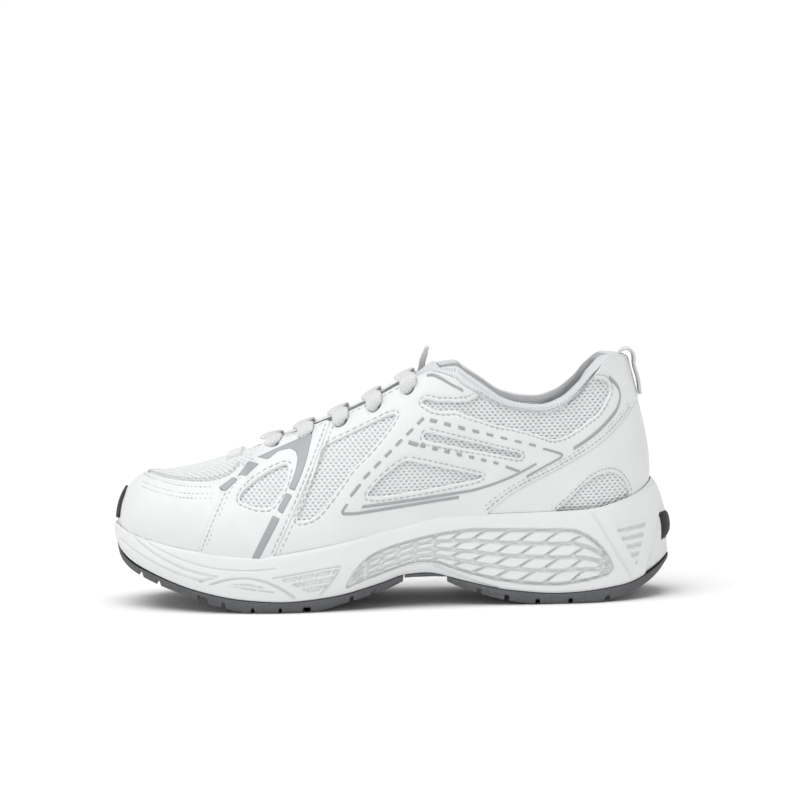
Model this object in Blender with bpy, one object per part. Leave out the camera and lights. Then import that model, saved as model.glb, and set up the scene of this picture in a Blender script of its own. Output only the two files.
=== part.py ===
"""Running shoe, left foot, as a bench assembly. Toe at -X, heel at +X, lateral side at -Y, ground at z = 0.

The upper's skins are all offsets of one surface, the last: a Bezier from the feather line, where the
upper meets the midsole, up to the top line, which is the ridge of the toe, the edge of the throat and
the rim of the collar in turn. Panels are that skin cut by their side-view outlines."""
import bpy
import bmesh
import math
import numpy as np
from mathutils import Vector

MM = 0.001
TOE_X = -131.4       # feather line's ends, mm
HEEL_X = 122.6
STATIONS = 32        # along each side of the shoe
RISES = 7            # from the feather line to the top line
GAP = 0.35           # between touching pieces
CENTRE = (0.0, -0.67, 0.0)   # middle of the whole shoe's box, on the ground
RAKE = 0.0454        # the whole shoe leans to the heel by this much per mm above RAKE_Z
RAKE_Z = 34.9
MESH = (0.0, 1.1)    # offsets of each skin from the last
OVERLAY = (1.45, 2.5)
STRIP = (2.85, 3.7)
COUNTER = (-1.6, -0.4)
PADDING = (-6.6, -2.0)
LINING = (-7.9, -7.0)
EYELET_R = 2.7
LACE_W = 8.4
LACE_T = 1.2
LACE_LEAD = 4.0      # each visible run crests this far ahead of its eyelets
LACE_UNDER = 2.5     # depth of the hidden runs below the skin

LATERAL = [(TOE_X, 6), (-127, -9), (-118, -20), (-100, -31.5), (-75, -41), (-50, -44.5), (-25, -43),
           (5, -37.5), (35, -33.5), (65, -32.5), (90, -31.5), (105, -27.5), (116, -19), (HEEL_X, 0)]
MEDIAL = [(TOE_X, 6), (-127, 20), (-118, 29), (-100, 38.5), (-75, 43), (-50, 40), (-25, 35),
          (5, 30), (35, 28.5), (65, 29.5), (90, 30.5), (105, 27.5), (116, 19), (HEEL_X, 0)]
FEATHER_Z = [(TOE_X, 40), (-116, 34), (-96, 30), (-63, 27), (-42, 29.5), (9, 40.5), (21, 43), (93, 45),
             (110, 49), (HEEL_X, 56.5)]
CENTRE_Y = [(TOE_X, 6), (-112, 4), (-66, 0.5), (-30, 0), (HEEL_X, 0)]
TOP_X = [(TOE_X, -113), (-127, -111.5), (-115, -106), (-100, -96), (-85, -84), (-68, -69), (-55, -54),
         (-40, -37), (-20, -15), (0, 5), (10, 15), (20, 25), (30, 34), (45, 48), (60, 62), (75, 76),
         (90, 90.5), (105, 102), (116, 108), (HEEL_X, 110)]
TOP_Y = [(TOE_X, 0), (-100, 0), (-68, 0), (-62, 6), (-55, 9.5), (-40, 13), (-20, 16), (0, 18.5), (20, 22),
         (30, 25.5), (45, 29.5), (60, 31), (75, 30), (90, 25), (105, 16), (116, 8.5), (HEEL_X, 0)]
TOP_Z = [(TOE_X, 63.5), (-115, 64.2), (-100, 66), (-85, 69.2), (-68, 73.8), (-55, 78.5), (-40, 85),
         (-20, 94.5), (0, 105.5), (10, 110), (17, 112.5), (24, 113), (30, 109.5), (37, 105), (50, 97),
         (60, 94.5), (68, 94), (78, 96.5), (87, 103), (95, 110.5), (105, 116.0), (HEEL_X, 115.2)]
BULGE = [(TOE_X, 1.6), (-100, 3), (-50, 2.5), (10, 1.5), (105, 1.5), (HEEL_X, 0.6)]
LOW_HANDLE = [(TOE_X, 11), (-100, 15), (-50, 18), (0, 25), (40, 25), (80, 20), (HEEL_X, 20)]
TOP_OUT = [(TOE_X, 14), (-115, 19), (-95, 24), (-68, 21), (-50, 17), (0, 15), (25, 9), (45, 4), (70, 2),
           (HEEL_X, 5)]
TOP_DROP = [(TOE_X, 1), (-68, 1), (-50, 8), (-20, 12), (0, 16), (30, 22), (60, 17), (80, 17), (HEEL_X, 20)]

# Sole: underside of the midsole, and underside of the rubber, both as heights along the shoe
MIDSOLE_Z = [(TOE_X, 36), (-127.5, 26.5), (-111, 17.5), (-90, 10.5), (-68, 6.5), (-50, 5.5), (-30, 7), (-5, 12.5),
             (7, 16), (16, 16.5), (34, 12.5), (56, 7.5), (80, 5.5), (107, 8), (HEEL_X, 19.5)]
TREAD_Z = [(TOE_X, 32), (-127.5, 22.5), (-116, 15), (-94, 7), (-81, 3), (-64, 0), (-38, 0), (-22, 3.5),
           (-2, 9), (12, 14), (20, 14), (33, 9), (54, 2.5), (72, 0), (98, 0), (112, 4), (HEEL_X, 15)]
# How far each level of the midsole's wall stands out from the feather line
LIP_OUT = [(TOE_X, 4.2), (-100, 3.6), (60, 3.6), (105, 3.6), (HEEL_X, 4.0)]
WALL_OUT = [(TOE_X, 4.6), (-100, 5.4), (-50, 5.2), (10, 5.4), (60, 6), (105, 7), (HEEL_X, 11.5)]
# The rubber's gap under the midsole, and how far its tread stands in from its top edge
SOLE_GAP = [(TOE_X, 1.4), (-124, 1.1), (-110, 0.5), (-95, 0.35), (HEEL_X, 0.35)]
TREAD_IN = [(TOE_X, -0.4), (-124, 0), (-112, 1.2), (-100, 2), (HEEL_X, 2)]
BASE_OUT = [(TOE_X, 2.6), (-115, 3.6), (-100, 4.2), (-50, 4.4), (10, 0.5), (40, 3), (70, 5.5), (105, 7),
            (HEEL_X, 12.5)]

WHITE = (0.80, 0.81, 0.81, 1)
GREY = (0.36, 0.37, 0.39, 1)
DARK = (0.03, 0.03, 0.033, 1)

for stale in list(bpy.data.objects):
    bpy.data.objects.remove(stale, do_unlink=True)


# ---------------------------------------------------------------- the last
def angle(x):
    """Stations crowd at the toe and the heel, so that both ends come out round."""
    mid = (TOE_X + HEEL_X) / 2
    half = (HEEL_X - TOE_X) / 2
    return np.arccos(np.clip((mid - np.asarray(x, float)) / half, -1, 1)) / math.pi


def along(t):
    return (TOE_X + HEEL_X) / 2 - (HEEL_X - TOE_X) / 2 * np.cos(math.pi * np.asarray(t, float))


class Profile:
    """A value along the shoe through a few knots, with no overshoot between them.

    A half width runs off steeply at the ends, which rounds them; any other value levels out there."""

    def __init__(self, knots, width=False):
        x, v = np.array(knots, float).T
        self.t = angle(x)
        self.v = v
        h = np.diff(self.t)
        d = np.diff(v) / h
        m = np.zeros(len(v))
        for k in range(1, len(v) - 1):
            if d[k - 1] * d[k] > 0:
                w1 = 2 * h[k] + h[k - 1]
                w2 = h[k] + 2 * h[k - 1]
                m[k] = (w1 + w2) / (w1 / d[k - 1] + w2 / d[k])
        m[0] = d[0] if width else 0
        m[-1] = d[-1] if width else 0
        self.m = m

    def at(self, t):
        t = np.asarray(t, float)
        i = np.clip(np.searchsorted(self.t, t) - 1, 0, len(self.t) - 2)
        h = self.t[i + 1] - self.t[i]
        s = (t - self.t[i]) / h
        low = (1 + 2 * s) * (1 - s) ** 2 * self.v[i] + s * (1 - s) ** 2 * h * self.m[i]
        return low + s * s * (3 - 2 * s) * self.v[i + 1] + s * s * (s - 1) * h * self.m[i + 1]

    def __call__(self, x):
        return self.at(angle(x))


lateral, medial, top_y = Profile(LATERAL, True), Profile(MEDIAL, True), Profile(TOP_Y, True)
feather_z, centre_y, top_x, top_z = Profile(FEATHER_Z), Profile(CENTRE_Y), Profile(TOP_X), Profile(TOP_Z)
bulge, low_handle, top_out, top_drop = Profile(BULGE), Profile(LOW_HANDLE), Profile(TOP_OUT), Profile(TOP_DROP)
midsole_z, tread_z = Profile(MIDSOLE_Z), Profile(TREAD_Z)
lip_out, wall_out, base_out = Profile(LIP_OUT), Profile(WALL_OUT), Profile(BASE_OUT)
sole_gap, tread_in = Profile(SOLE_GAP), Profile(TREAD_IN)


def plan(t, side):
    """A feather-line point and its outward direction, both in plan; side is -1 lateral, 1 medial."""
    edge = lateral if side < 0 else medial
    low, high = max(t - 1e-4, 0), min(t + 1e-4, 1)
    dx = float(along(high) - along(low))
    dy = float(edge.at(high) - edge.at(low))
    out = np.array([dy, -dx]) * (-side) / math.hypot(dx, dy)
    if t < 1e-3:
        out = np.array([-1.0, 0.0])
    if t > 1 - 1e-3:
        out = np.array([1.0, 0.0])
    return np.array([float(along(t)), float(edge.at(t))]), out


def last_point(t, v, side):
    foot, out = plan(t, side)
    low = feather_z.at(t) - 1.5
    x = float(top_x.at(t))
    p0 = np.array([foot[0], foot[1], low])
    p1 = np.array([*(foot + out * bulge.at(t)), low + low_handle.at(t)])
    p3 = np.array([x, centre_y(x) + side * top_y.at(t), top_z.at(t)], float)
    p2 = p3 + np.array([*(out * top_out.at(t)), -top_drop.at(t)])
    w = 1 - v
    return w ** 3 * p0 + 3 * w * w * v * p1 + 3 * w * v * v * p2 + v ** 3 * p3


# The whole skin: round from the heel along the lateral side, the toe, then back along the medial side
def skin_grid():
    steps = [k / STATIONS for k in range(STATIONS + 1)]
    loop = [(t, -1) for t in reversed(steps)] + [(t, 1) for t in steps[1:-1]]
    points, index, faces = [], {}, []
    ids = []
    for t, side in loop:
        row = []
        for j in range(RISES + 1):
            p = last_point(t, j / RISES, side)
            key = (round(p[0], 2), round(p[1], 2), round(p[2], 2))
            if key not in index:
                index[key] = len(points)
                points.append(p)
            row.append(index[key])
        ids.append(row)
    n = len(ids)
    for i in range(n):
        a, b = ids[i], ids[(i + 1) % n]
        for j in range(RISES):
            quad = [a[j], a[j + 1], b[j + 1], b[j]]
            face = [q for k, q in enumerate(quad) if q != quad[k - 1]]
            if len(set(face)) > 2:
                faces.append(face)
    return np.array(points), faces


POINTS, FACES = skin_grid()


def skin_normals():
    total = np.zeros_like(POINTS)
    for face in FACES:
        ring = POINTS[face]
        area = sum(np.cross(ring[k - 1], ring[k]) for k in range(len(ring)))
        total[face] += area
    total /= np.linalg.norm(total, axis=1)[:, None]
    middle = np.array([-10.0, 0.0, 50.0])
    if np.sum((POINTS - middle) * total) < 0:
        total = -total
    return total


NORMALS = skin_normals()


# ---------------------------------------------------------------- solids
def material(name, colour, rough, metal=0.0):
    mat = bpy.data.materials.new(name)
    mat.use_nodes = True
    shader = mat.node_tree.nodes["Principled BSDF"]
    shader.inputs["Base Color"].default_value = colour
    shader.inputs["Roughness"].default_value = rough
    shader.inputs["Metallic"].default_value = metal
    return mat


def raked(p):
    """A point in mm, leaned to the heel, centred and put in metres."""
    x = float(p[0]) + RAKE * (float(p[2]) - RAKE_Z)
    return [(x - CENTRE[0]) * MM, (float(p[1]) - CENTRE[1]) * MM, (float(p[2]) - CENTRE[2]) * MM]


def solid(name, points, faces, colour=None, rough=0.6):
    """One closed body from points in mm; its faces are turned to point out."""
    mesh = bpy.data.meshes.new(name)
    mesh.from_pydata([raked(p) for p in points], [], faces)
    bm = bmesh.new()
    bm.from_mesh(mesh)
    bmesh.ops.recalc_face_normals(bm, faces=bm.faces)
    bmesh.ops.triangulate(bm, faces=[f for f in bm.faces if len(f.verts) > 3])
    if bm.calc_volume(signed=True) < 0:
        bmesh.ops.reverse_faces(bm, faces=bm.faces)
    bm.to_mesh(mesh)
    bm.free()
    body = bpy.data.objects.new(name, mesh)
    bpy.context.scene.collection.objects.link(body)
    if colour:
        mesh.materials.append(material(name, colour, rough))
    return body


def shell(name, offsets, colour, rough):
    """The closed skin between two offsets of the last."""
    n = len(POINTS)
    points = np.vstack([POINTS + NORMALS * offsets[1], POINTS + NORMALS * offsets[0]])
    faces = [list(f) for f in FACES] + [[q + n for q in reversed(f)] for f in FACES]
    count = {}
    for face in FACES:
        for k in range(len(face)):
            pair = (face[k - 1], face[k])
            count[pair] = 1
    for a, b in list(count):
        if (b, a) not in count:
            faces.append([b, a, a + n, b + n])
    return solid(name, points, faces, colour, rough)


def prism(outline, side=0, near=0.0, far=80.0):
    """A cutter through the shoe across Y, with a side-view outline in mm. Side 0 spans both sides."""
    low, high = (-far, far) if side == 0 else (-far, -near) if side < 0 else (near, far)
    points = [(x, low, z) for x, z in outline] + [(x, high, z) for x, z in outline]
    n = len(outline)
    faces = [list(range(n)), list(range(n, 2 * n))]
    faces += [[k, (k + 1) % n, (k + 1) % n + n, k + n] for k in range(n)]
    return solid("cutter", points, faces)


def cut(body, cutter, operation):
    step = body.modifiers.new("cut", "BOOLEAN")
    step.operation = operation
    step.solver = "EXACT"
    step.object = cutter
    graph = bpy.context.evaluated_depsgraph_get()
    mesh = bpy.data.meshes.new_from_object(body.evaluated_get(graph))
    old = body.data
    body.modifiers.clear()
    body.data = mesh
    bpy.data.meshes.remove(old)
    bpy.data.objects.remove(cutter, do_unlink=True)


def panel(name, offsets, outline, colour=WHITE, rough=0.5, side=0, windows=(), near=0.0):
    """A piece of skin inside an outline, with windows cut out of it."""
    body = shell(name, offsets, colour, rough)
    cut(body, prism(outline, side, near), "INTERSECT")
    for window in windows:
        cut(body, prism(window, side, near), "DIFFERENCE")
    finish(body)
    return body


def finish(body):
    """Drop slivers, keep the one large body, and shade it smooth."""
    mesh = body.data
    bm = bmesh.new()
    bm.from_mesh(mesh)
    bmesh.ops.remove_doubles(bm, verts=bm.verts, dist=2e-6)
    bmesh.ops.dissolve_degenerate(bm, edges=bm.edges, dist=2e-6)
    bmesh.ops.triangulate(bm, faces=bm.faces)
    left = set(bm.verts)
    islands = []
    while left:
        stack = [left.pop()]
        island = list(stack)
        while stack:
            for edge in stack.pop().link_edges:
                for vert in edge.verts:
                    if vert in left:
                        left.remove(vert)
                        stack.append(vert)
                        island.append(vert)
        islands.append(island)
    islands.sort(key=len)
    for island in islands[:-1]:
        bmesh.ops.delete(bm, geom=island, context="VERTS")
    bm.to_mesh(mesh)
    bm.free()
    mesh.shade_smooth()
    mesh.set_sharp_from_angle(angle=math.radians(35))


def rings(name, levels, colour, rough, across=4):
    """A solid from plan rings stacked bottom to top, each ring being lateral and medial halves.

    A level is a function of (t, side) giving a point. The first and last levels are closed across."""
    steps = [k / STATIONS for k in range(STATIONS + 1)]
    loop = [(t, -1) for t in steps] + [(t, 1) for t in reversed(steps[1:-1])]
    n = len(loop)
    points = [level(t, side) for level in levels for t, side in loop]
    faces = []
    for r in range(len(levels) - 1):
        for k in range(n):
            a, b = r * n + k, r * n + (k + 1) % n
            faces.append([a, b, b + n, a + n])
    for r, flip in ((0, False), (len(levels) - 1, True)):
        bridge = []
        for i in range(1, STATIONS):
            a, b = r * n + i, r * n + (n - i)
            inner = []
            for q in range(1, across):
                f = q / across
                inner.append(len(points))
                points.append(np.array(points[a]) * (1 - f) + np.array(points[b]) * f)
            bridge.append([a, *inner, b])
        for row, nxt in zip(bridge, bridge[1:]):
            for q in range(across):
                faces.append([row[q], row[q + 1], nxt[q + 1], nxt[q]])
        first, final = r * n, r * n + STATIONS
        faces += [[first, bridge[0][q], bridge[0][q + 1]] for q in range(across)]
        faces += [[final, bridge[-1][q + 1], bridge[-1][q]] for q in range(across)]
    body = solid(name, points, faces, colour, rough)
    finish(body)
    return body


def ring(out_by, height):
    """A level that stands out_by(t) from the feather line at height(t)."""
    def level(t, side):
        foot, out = plan(t, side)
        at = foot + out * out_by(t)
        return np.array([at[0], at[1], height(t)], float)
    return level


def mix(a, b, f):
    return lambda t: a(t) * (1 - f) + b(t) * f


# ---------------------------------------------------------------- sole
lip = ring(lip_out.at, feather_z.at)
groove = ring(lambda t: 2.5 + GAP + 0.1, feather_z.at)
bed = ring(lambda t: 2.5 + GAP + 0.1, lambda t: feather_z.at(t) - 2.0)
belly = ring(wall_out.at, mix(midsole_z.at, feather_z.at, 0.45))
shoulder = ring(mix(wall_out.at, lip_out.at, 0.5), mix(midsole_z.at, feather_z.at, 0.8))
skirt = ring(mix(base_out.at, wall_out.at, 0.7), mix(midsole_z.at, feather_z.at, 0.16))
base = ring(base_out.at, midsole_z.at)
midsole = rings("midsole", [base, skirt, belly, shoulder, lip, groove, bed], WHITE, 0.55)

# The heel insert is a black block let into the back of the midsole
INSERT_HALF = 12.8
INSERT = [(121.0, 27.0), (140.0, 27.0), (140.0, 40.0), (121.0, 40.0)]
pocket = solid("cutter", [(x, y, z) for y in (-INSERT_HALF - 0.4, INSERT_HALF + 0.4) for x, z in INSERT],
               [[0, 1, 2, 3], [4, 5, 6, 7], [0, 1, 5, 4], [1, 2, 6, 5], [2, 3, 7, 6], [3, 0, 4, 7]])
cut(midsole, pocket, "DIFFERENCE")
finish(midsole)


def heel_insert():
    points, faces = [], []
    n = 13
    for z, out in ((27.4, 0.3), (30.5, 1.3), (34.0, 1.2), (37.0, 0.7), (39.6, 0.0)):
        for k in range(n):
            y = INSERT_HALF * (2 * k / (n - 1) - 1)
            points.append((134.7 - 0.018 * y * y + out, y, z))
        points.append((121.4, INSERT_HALF, z))
        points.append((121.4, -INSERT_HALF, z))
    ring_size = n + 2
    for r in range(4):
        for k in range(ring_size):
            a, b = r * ring_size + k, r * ring_size + (k + 1) % ring_size
            faces.append([a, b, b + ring_size, a + ring_size])
    faces.append(list(range(ring_size)))
    faces.append(list(range(4 * ring_size, 5 * ring_size)))
    body = solid("heel_insert", points, faces, DARK, 0.6)
    finish(body)


heel_insert()


def outsole(name, start, end):
    """Rubber from x = start to end, a small gap under the midsole."""
    top = ring(base_out.at, lambda t: midsole_z.at(t) - sole_gap.at(t))
    wall = ring(lambda t: base_out.at(t) - 0.2 * tread_in.at(t),
                lambda t: 0.5 * tread_z.at(t) + 0.5 * (midsole_z.at(t) - sole_gap.at(t)))
    tread = ring(lambda t: base_out.at(t) - tread_in.at(t), tread_z.at)
    body = rings(name, [tread, wall, top], GREY, 0.75)
    cut(body, prism([(start, -5), (end, -5), (end, 60), (start, 60)]), "INTERSECT")
    return body


def flex_grooves(body, places, depth, wide=1.6):
    """Slots across the tread, each from the ground to depth above the tread's own height there."""
    for x in places:
        floor = float(tread_z(x))
        box = [(x - wide / 2, floor - 4), (x + wide / 2, floor - 4), (x + wide / 2, floor + depth),
               (x - wide / 2, floor + depth)]
        cut(body, prism(box), "DIFFERENCE")


forefoot = outsole("outsole_forefoot", -150, 6.0)
flex_grooves(forefoot, (-114, -79, -66, -40, -17), 1.3)
flex_grooves(forefoot, (-90,), 1.6, 4.0)
finish(forefoot)
heel_tread = outsole("outsole_heel", 27.0, 150)
flex_grooves(heel_tread, (40, 55, 71, 100), 1.2)
finish(heel_tread)
shank = outsole("arch_shank", 6.4, 26.6)
cut(shank, prism([(5, 0), (28, 0), (28, 14.4), (5, 14.4)]), "DIFFERENCE")
finish(shank)

# Lasting board and insole fill the floor of the upper
board_low = ring(lambda t: -1.7, lambda t: feather_z.at(t) - 1.5)
board_top = ring(lambda t: -1.7, lambda t: feather_z.at(t) - 0.3)
rings("lasting_board", [board_low, board_top], (0.75, 0.75, 0.72, 1), 0.9, 2)
insole_low = ring(lambda t: -2.4, lambda t: feather_z.at(t) + 0.1)
insole_mid = ring(lambda t: -2.1, lambda t: feather_z.at(t) + 2.2)
insole_top = ring(lambda t: -3.0, lambda t: feather_z.at(t) + 4.2)
rings("insole", [insole_low, insole_mid, insole_top], (0.55, 0.56, 0.58, 1), 0.9, 4)

# ---------------------------------------------------------------- upper, base layer
VAMP = [(-150, 20), (-22, 20), (-26, 45), (-21, 70), (-16, 120), (-150, 120)]
QUARTER = [(-21.6, 20), (150, 20), (150, 140), (-15.6, 140), (-15.6, 120), (-20.6, 70), (-25.6, 45)]
panel("vamp_mesh", MESH, VAMP, (0.72, 0.73, 0.74, 1), 0.8)
panel("quarter_mesh_lateral", MESH, QUARTER, (0.72, 0.73, 0.74, 1), 0.8, -1, near=0.2)
panel("quarter_mesh_medial", MESH, QUARTER, (0.72, 0.73, 0.74, 1), 0.8, 1, near=0.2)

# ---------------------------------------------------------------- upper, overlays
SEAM_GAP = 0.44      # between two overlays that meet at a seam


def arcs(corners, closed=True):
    """An outline of corners (x, z, bow): the side from each one bows to its own left by bow mm."""
    out = []
    for k in range(len(corners) if closed else len(corners) - 1):
        x, z, bow = corners[k]
        dx, dz = corners[(k + 1) % len(corners)][0] - x, corners[(k + 1) % len(corners)][1] - z
        length = math.hypot(dx, dz)
        steps = max(int(length / 9), 3) if bow else 1
        for f in np.arange(steps) / steps:
            lift = 4 * bow * f * (1 - f) / length
            out.append((x + dx * f - dz * lift, z + dz * f + dx * lift))
    return out if closed else out + [corners[-1][:2]]


def beside(line, by):
    """A line moved to its own left by some mm."""
    pts = np.array(line, float)
    run = np.gradient(pts, axis=0)
    run /= np.linalg.norm(run, axis=1, keepdims=True)
    return [tuple(p) for p in pts + by * np.stack([-run[:, 1], run[:, 0]], 1)]


def band(line, wide):
    return beside(line, wide / 2) + beside(line, -wide / 2)[::-1]


# Seams, each from the sole upwards
FRONT_SEAM = arcs([(-92, 20, 0), (-92, 28, 1.2), (-80, 57, 0), (-73, 61, 0), (-71, 70, 0)], closed=False)
REAR_SEAM = arcs([(-50, 20, 0), (-48.5, 37, -2), (-33.5, 83, 0), (-28, 101, 0)], closed=False)
COVER_SEAM = arcs([(51, 20, 0), (49, 46, 2.6), (84, 65, -2.3), (116.5, 95, 0), (140, 95, 0)], closed=False)

TOE_CAP = (beside(FRONT_SEAM, SEAM_GAP / 2)
           + arcs([(-71.5, 70, 2), (-97, 62, 0), (-117, 65, 0), (-120, 80, 0), (-150, 80, 0), (-150, 20, 0)],
                  closed=False)[1:])
FRONT_SADDLE = beside(REAR_SEAM, SEAM_GAP / 2) + [(-60, 101)] + beside(FRONT_SEAM, -SEAM_GAP / 2)[::-1]
# The eyestay saddle's upper edge runs round the collar's mesh, from the heel to the throat
SADDLE_EDGE = arcs([(140, 130, 0), (92, 130, 0), (97, 107, 7), (91, 87, 0), (76.5, 80, 0), (18, 94, 0),
                    (13.5, 97.5, 0), (18, 98.5, 0), (36.5, 97.5, 0), (42, 120, 0), (10, 125, 0)], closed=False)
MID_SADDLE = beside(COVER_SEAM, SEAM_GAP / 2) + SADDLE_EDGE + beside(REAR_SEAM, -SEAM_GAP / 2)[::-1]
HEEL_COVER = [(140, 20)] + beside(COVER_SEAM, -SEAM_GAP / 2)[::-1]

# Windows over the mesh
WINDOW_1 = arcs([(-51, 69, -0.7), (-73, 55, 0), (-73, 52.5, 0), (-61, 49, -1.3)])
WINDOW_2 = arcs([(1, 91.5, 1), (-32, 79.5, 0.8), (-41, 47, 0), (-40, 44.5, -1.5)])
WINDOW_3 = [(5, 70.5), (43.5, 62), (41, 61), (-10, 54), (-12.5, 55), (2, 69)]
SLOT = [(14, 82), (15, 84), (61, 72), (61, 70.5), (59, 69.5), (17, 80)]
HEEL_WINDOW = arcs([(77, 43, 0), (96, 60.5, 5.5), (114, 52, 0), (114, 30, 0), (77, 30, 0)])

TOE_BUMPER = [(-150, 41.5), (-127.5, 41.5), (-128.5, 50), (-129.5, 57), (-150, 57)]
COLLAR_STRIP = band(arcs([(85, 75, -1.5), (105, 89.5, -5), (101, 107.5, 0)], closed=False), 3.6)

panel("toe_cap", OVERLAY, TOE_CAP)
panel("toe_bumper", STRIP, TOE_BUMPER, DARK, 0.7)
for word, side in (("lateral", -1), ("medial", 1)):
    panel("front_saddle_" + word, OVERLAY, FRONT_SADDLE, side=side, windows=[WINDOW_1], near=0.3)
    panel("eyestay_saddle_" + word, OVERLAY, MID_SADDLE, side=side, windows=[WINDOW_2, WINDOW_3, SLOT], near=0.3)
    panel("collar_strip_" + word, STRIP, COLLAR_STRIP, GREY, 0.4, side)
panel("heel_cover", OVERLAY, HEEL_COVER, windows=[HEEL_WINDOW])
panel("heel_counter", COUNTER, [(62, 20), (140, 20), (140, 84), (96, 84), (74, 66)], (0.7, 0.68, 0.62, 1), 0.7)

# ---------------------------------------------------------------- collar
COLLAR = [(36, 130), (36, 92), (46, 78), (75, 70), (100, 74), (140, 80), (140, 130)]
panel("collar_padding", PADDING, COLLAR, (0.6, 0.6, 0.58, 1), 0.9)
panel("collar_lining", LINING, COLLAR, (0.42, 0.43, 0.45, 1), 0.9)

# ---------------------------------------------------------------- throat
THROAT_STAY = [(-78.5, -8), (-75, -9.5), (-71.7, -9.5), (-71.7, 10), (-75, 10), (-78.5, 8.5)]
stay = shell("throat_stay", OVERLAY, WHITE, 0.5)
plug = solid("cutter", [(x, y, z) for z in (60, 90) for x, y in THROAT_STAY],
             [list(range(6)), list(range(6, 12))] + [[k, (k + 1) % 6, (k + 1) % 6 + 6, k + 6] for k in range(6)])
cut(stay, plug, "INTERSECT")
finish(stay)

EYELETS_X = (-57.0, -41.5, -25.0, -9.0, 7.0)
EYELET_IN = 5.6      # from the edge of the throat to an eyelet's centre


def throat_frame(x, side):
    """The throat edge at x, an eyelet's centre beside it, and the skin's outward direction there."""
    knots = np.linspace(0.15, 0.85, 400)
    t = float(knots[np.argmin(np.abs(top_x.at(knots) - x))])
    edge = last_point(t, 1.0, side)
    v = 1.0
    while np.linalg.norm(last_point(t, v, side) - edge) < EYELET_IN:
        v -= 0.004
    hole = last_point(t, v, side)
    ahead = last_point(t - 0.01, v, side) - last_point(t + 0.01, v, side)
    up = last_point(t, v + 0.03, side) - last_point(t, v - 0.03, side)
    out = np.cross(ahead, up)
    out /= np.linalg.norm(out)
    if out[2] < 0:
        out = -out
    return edge, hole, out, ahead / np.linalg.norm(ahead)


def punch(names, side):
    """Eyelets: eight-sided holes square to the skin, through every named panel they meet."""
    for x in EYELETS_X:
        _, hole, out, ahead = throat_frame(x, side)
        across = np.cross(out, ahead)
        across /= np.linalg.norm(across)
        ahead = np.cross(across, out)
        ring_pts = []
        for depth in (-3.0, 6.0):
            for k in range(8):
                a = math.tau * (k + 0.5) / 8
                spoke = ahead * math.cos(a) + across * math.sin(a)
                ring_pts.append(hole + out * depth + spoke * EYELET_R)
        faces = [list(range(8)), list(range(8, 16))]
        faces += [[k, (k + 1) % 8, (k + 1) % 8 + 8, k + 8] for k in range(8)]
        for name in names(x):
            cut(bpy.data.objects[name], solid("cutter", ring_pts, faces), "DIFFERENCE")


punch(lambda x: ("vamp_mesh" if x < -20 else "quarter_mesh_lateral",
                 "front_saddle_lateral" if x < -35 else "eyestay_saddle_lateral"), -1)
punch(lambda x: ("vamp_mesh" if x < -20 else "quarter_mesh_medial",
                 "front_saddle_medial" if x < -35 else "eyestay_saddle_medial"), 1)
for word in ("vamp_mesh", "quarter_mesh_lateral", "quarter_mesh_medial", "front_saddle_lateral",
             "front_saddle_medial", "eyestay_saddle_lateral", "eyestay_saddle_medial"):
    finish(bpy.data.objects[word])


# ---------------------------------------------------------------- tongue
TONGUE = [(-67, 68.6), (-60, 71.8), (-52, 75.8), (-37, 83.3), (-15, 93.6), (4, 104.8), (12, 111.0), (18.5, 116.2)]
TONGUE_HALF = [9, 12, 16, 21, 23.5, 23, 21.5, 17]
TONGUE_ARCH = 0.028


def smooth(points, n):
    """A Catmull-Rom curve through the points, n steps to a span."""
    pts = [np.array(p, float) for p in points]
    pts = [2 * pts[0] - pts[1], *pts, 2 * pts[-1] - pts[-2]]
    out = []
    for a, b, c, d in zip(pts, pts[1:], pts[2:], pts[3:]):
        for k in range(n):
            s = k / n
            out.append(b + 0.5 * s * (c - a + s * (2 * a - 5 * b + 4 * c - d + s * (3 * (b - c) + d - a))))
    out.append(pts[-2])
    return out


def tongue_layer(name, top, bottom, inset, colour, rough):
    path = smooth([(x, z, w) for (x, z), w in zip(TONGUE, TONGUE_HALF)], 2)
    n, across = len(path), 6
    layers = []
    for depth in (top, bottom):
        for i, (x, z, half) in enumerate(path):
            before, after = path[max(i - 1, 0)], path[min(i + 1, n - 1)]
            lean = math.atan2(after[1] - before[1], after[0] - before[0])
            for j in range(across + 1):
                y = (half - inset) * (2 * j / across - 1)
                drop = depth + TONGUE_ARCH * y * y
                layers.append((x + drop * math.sin(lean), y, z - drop * math.cos(lean)))
    m = across + 1
    faces = []
    for i in range(n - 1):
        for j in range(across):
            a = i * m + j
            faces.append([a, a + 1, a + m + 1, a + m])
            faces.append([q + n * m for q in (a, a + m, a + m + 1, a + 1)])
    rim = [i * m for i in range(n)] + [(n - 1) * m + j for j in range(1, m)]
    rim += [i * m + m - 1 for i in range(n - 2, -1, -1)] + list(range(m - 2, 0, -1))
    for k in range(len(rim)):
        a, b = rim[k - 1], rim[k]
        faces.append([a, b, b + n * m, a + n * m])
    body = solid(name, layers, faces, colour, rough)
    finish(body)
    return body


tongue_layer("tongue_shell", 0.0, 0.9, 0.0, WHITE, 0.6)
tongue_layer("tongue_padding", 1.25, 4.4, 1.0, (0.6, 0.6, 0.58, 1), 0.9)
tongue_layer("tongue_lining", 4.75, 5.5, 0.3, (0.42, 0.43, 0.45, 1), 0.9)


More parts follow.
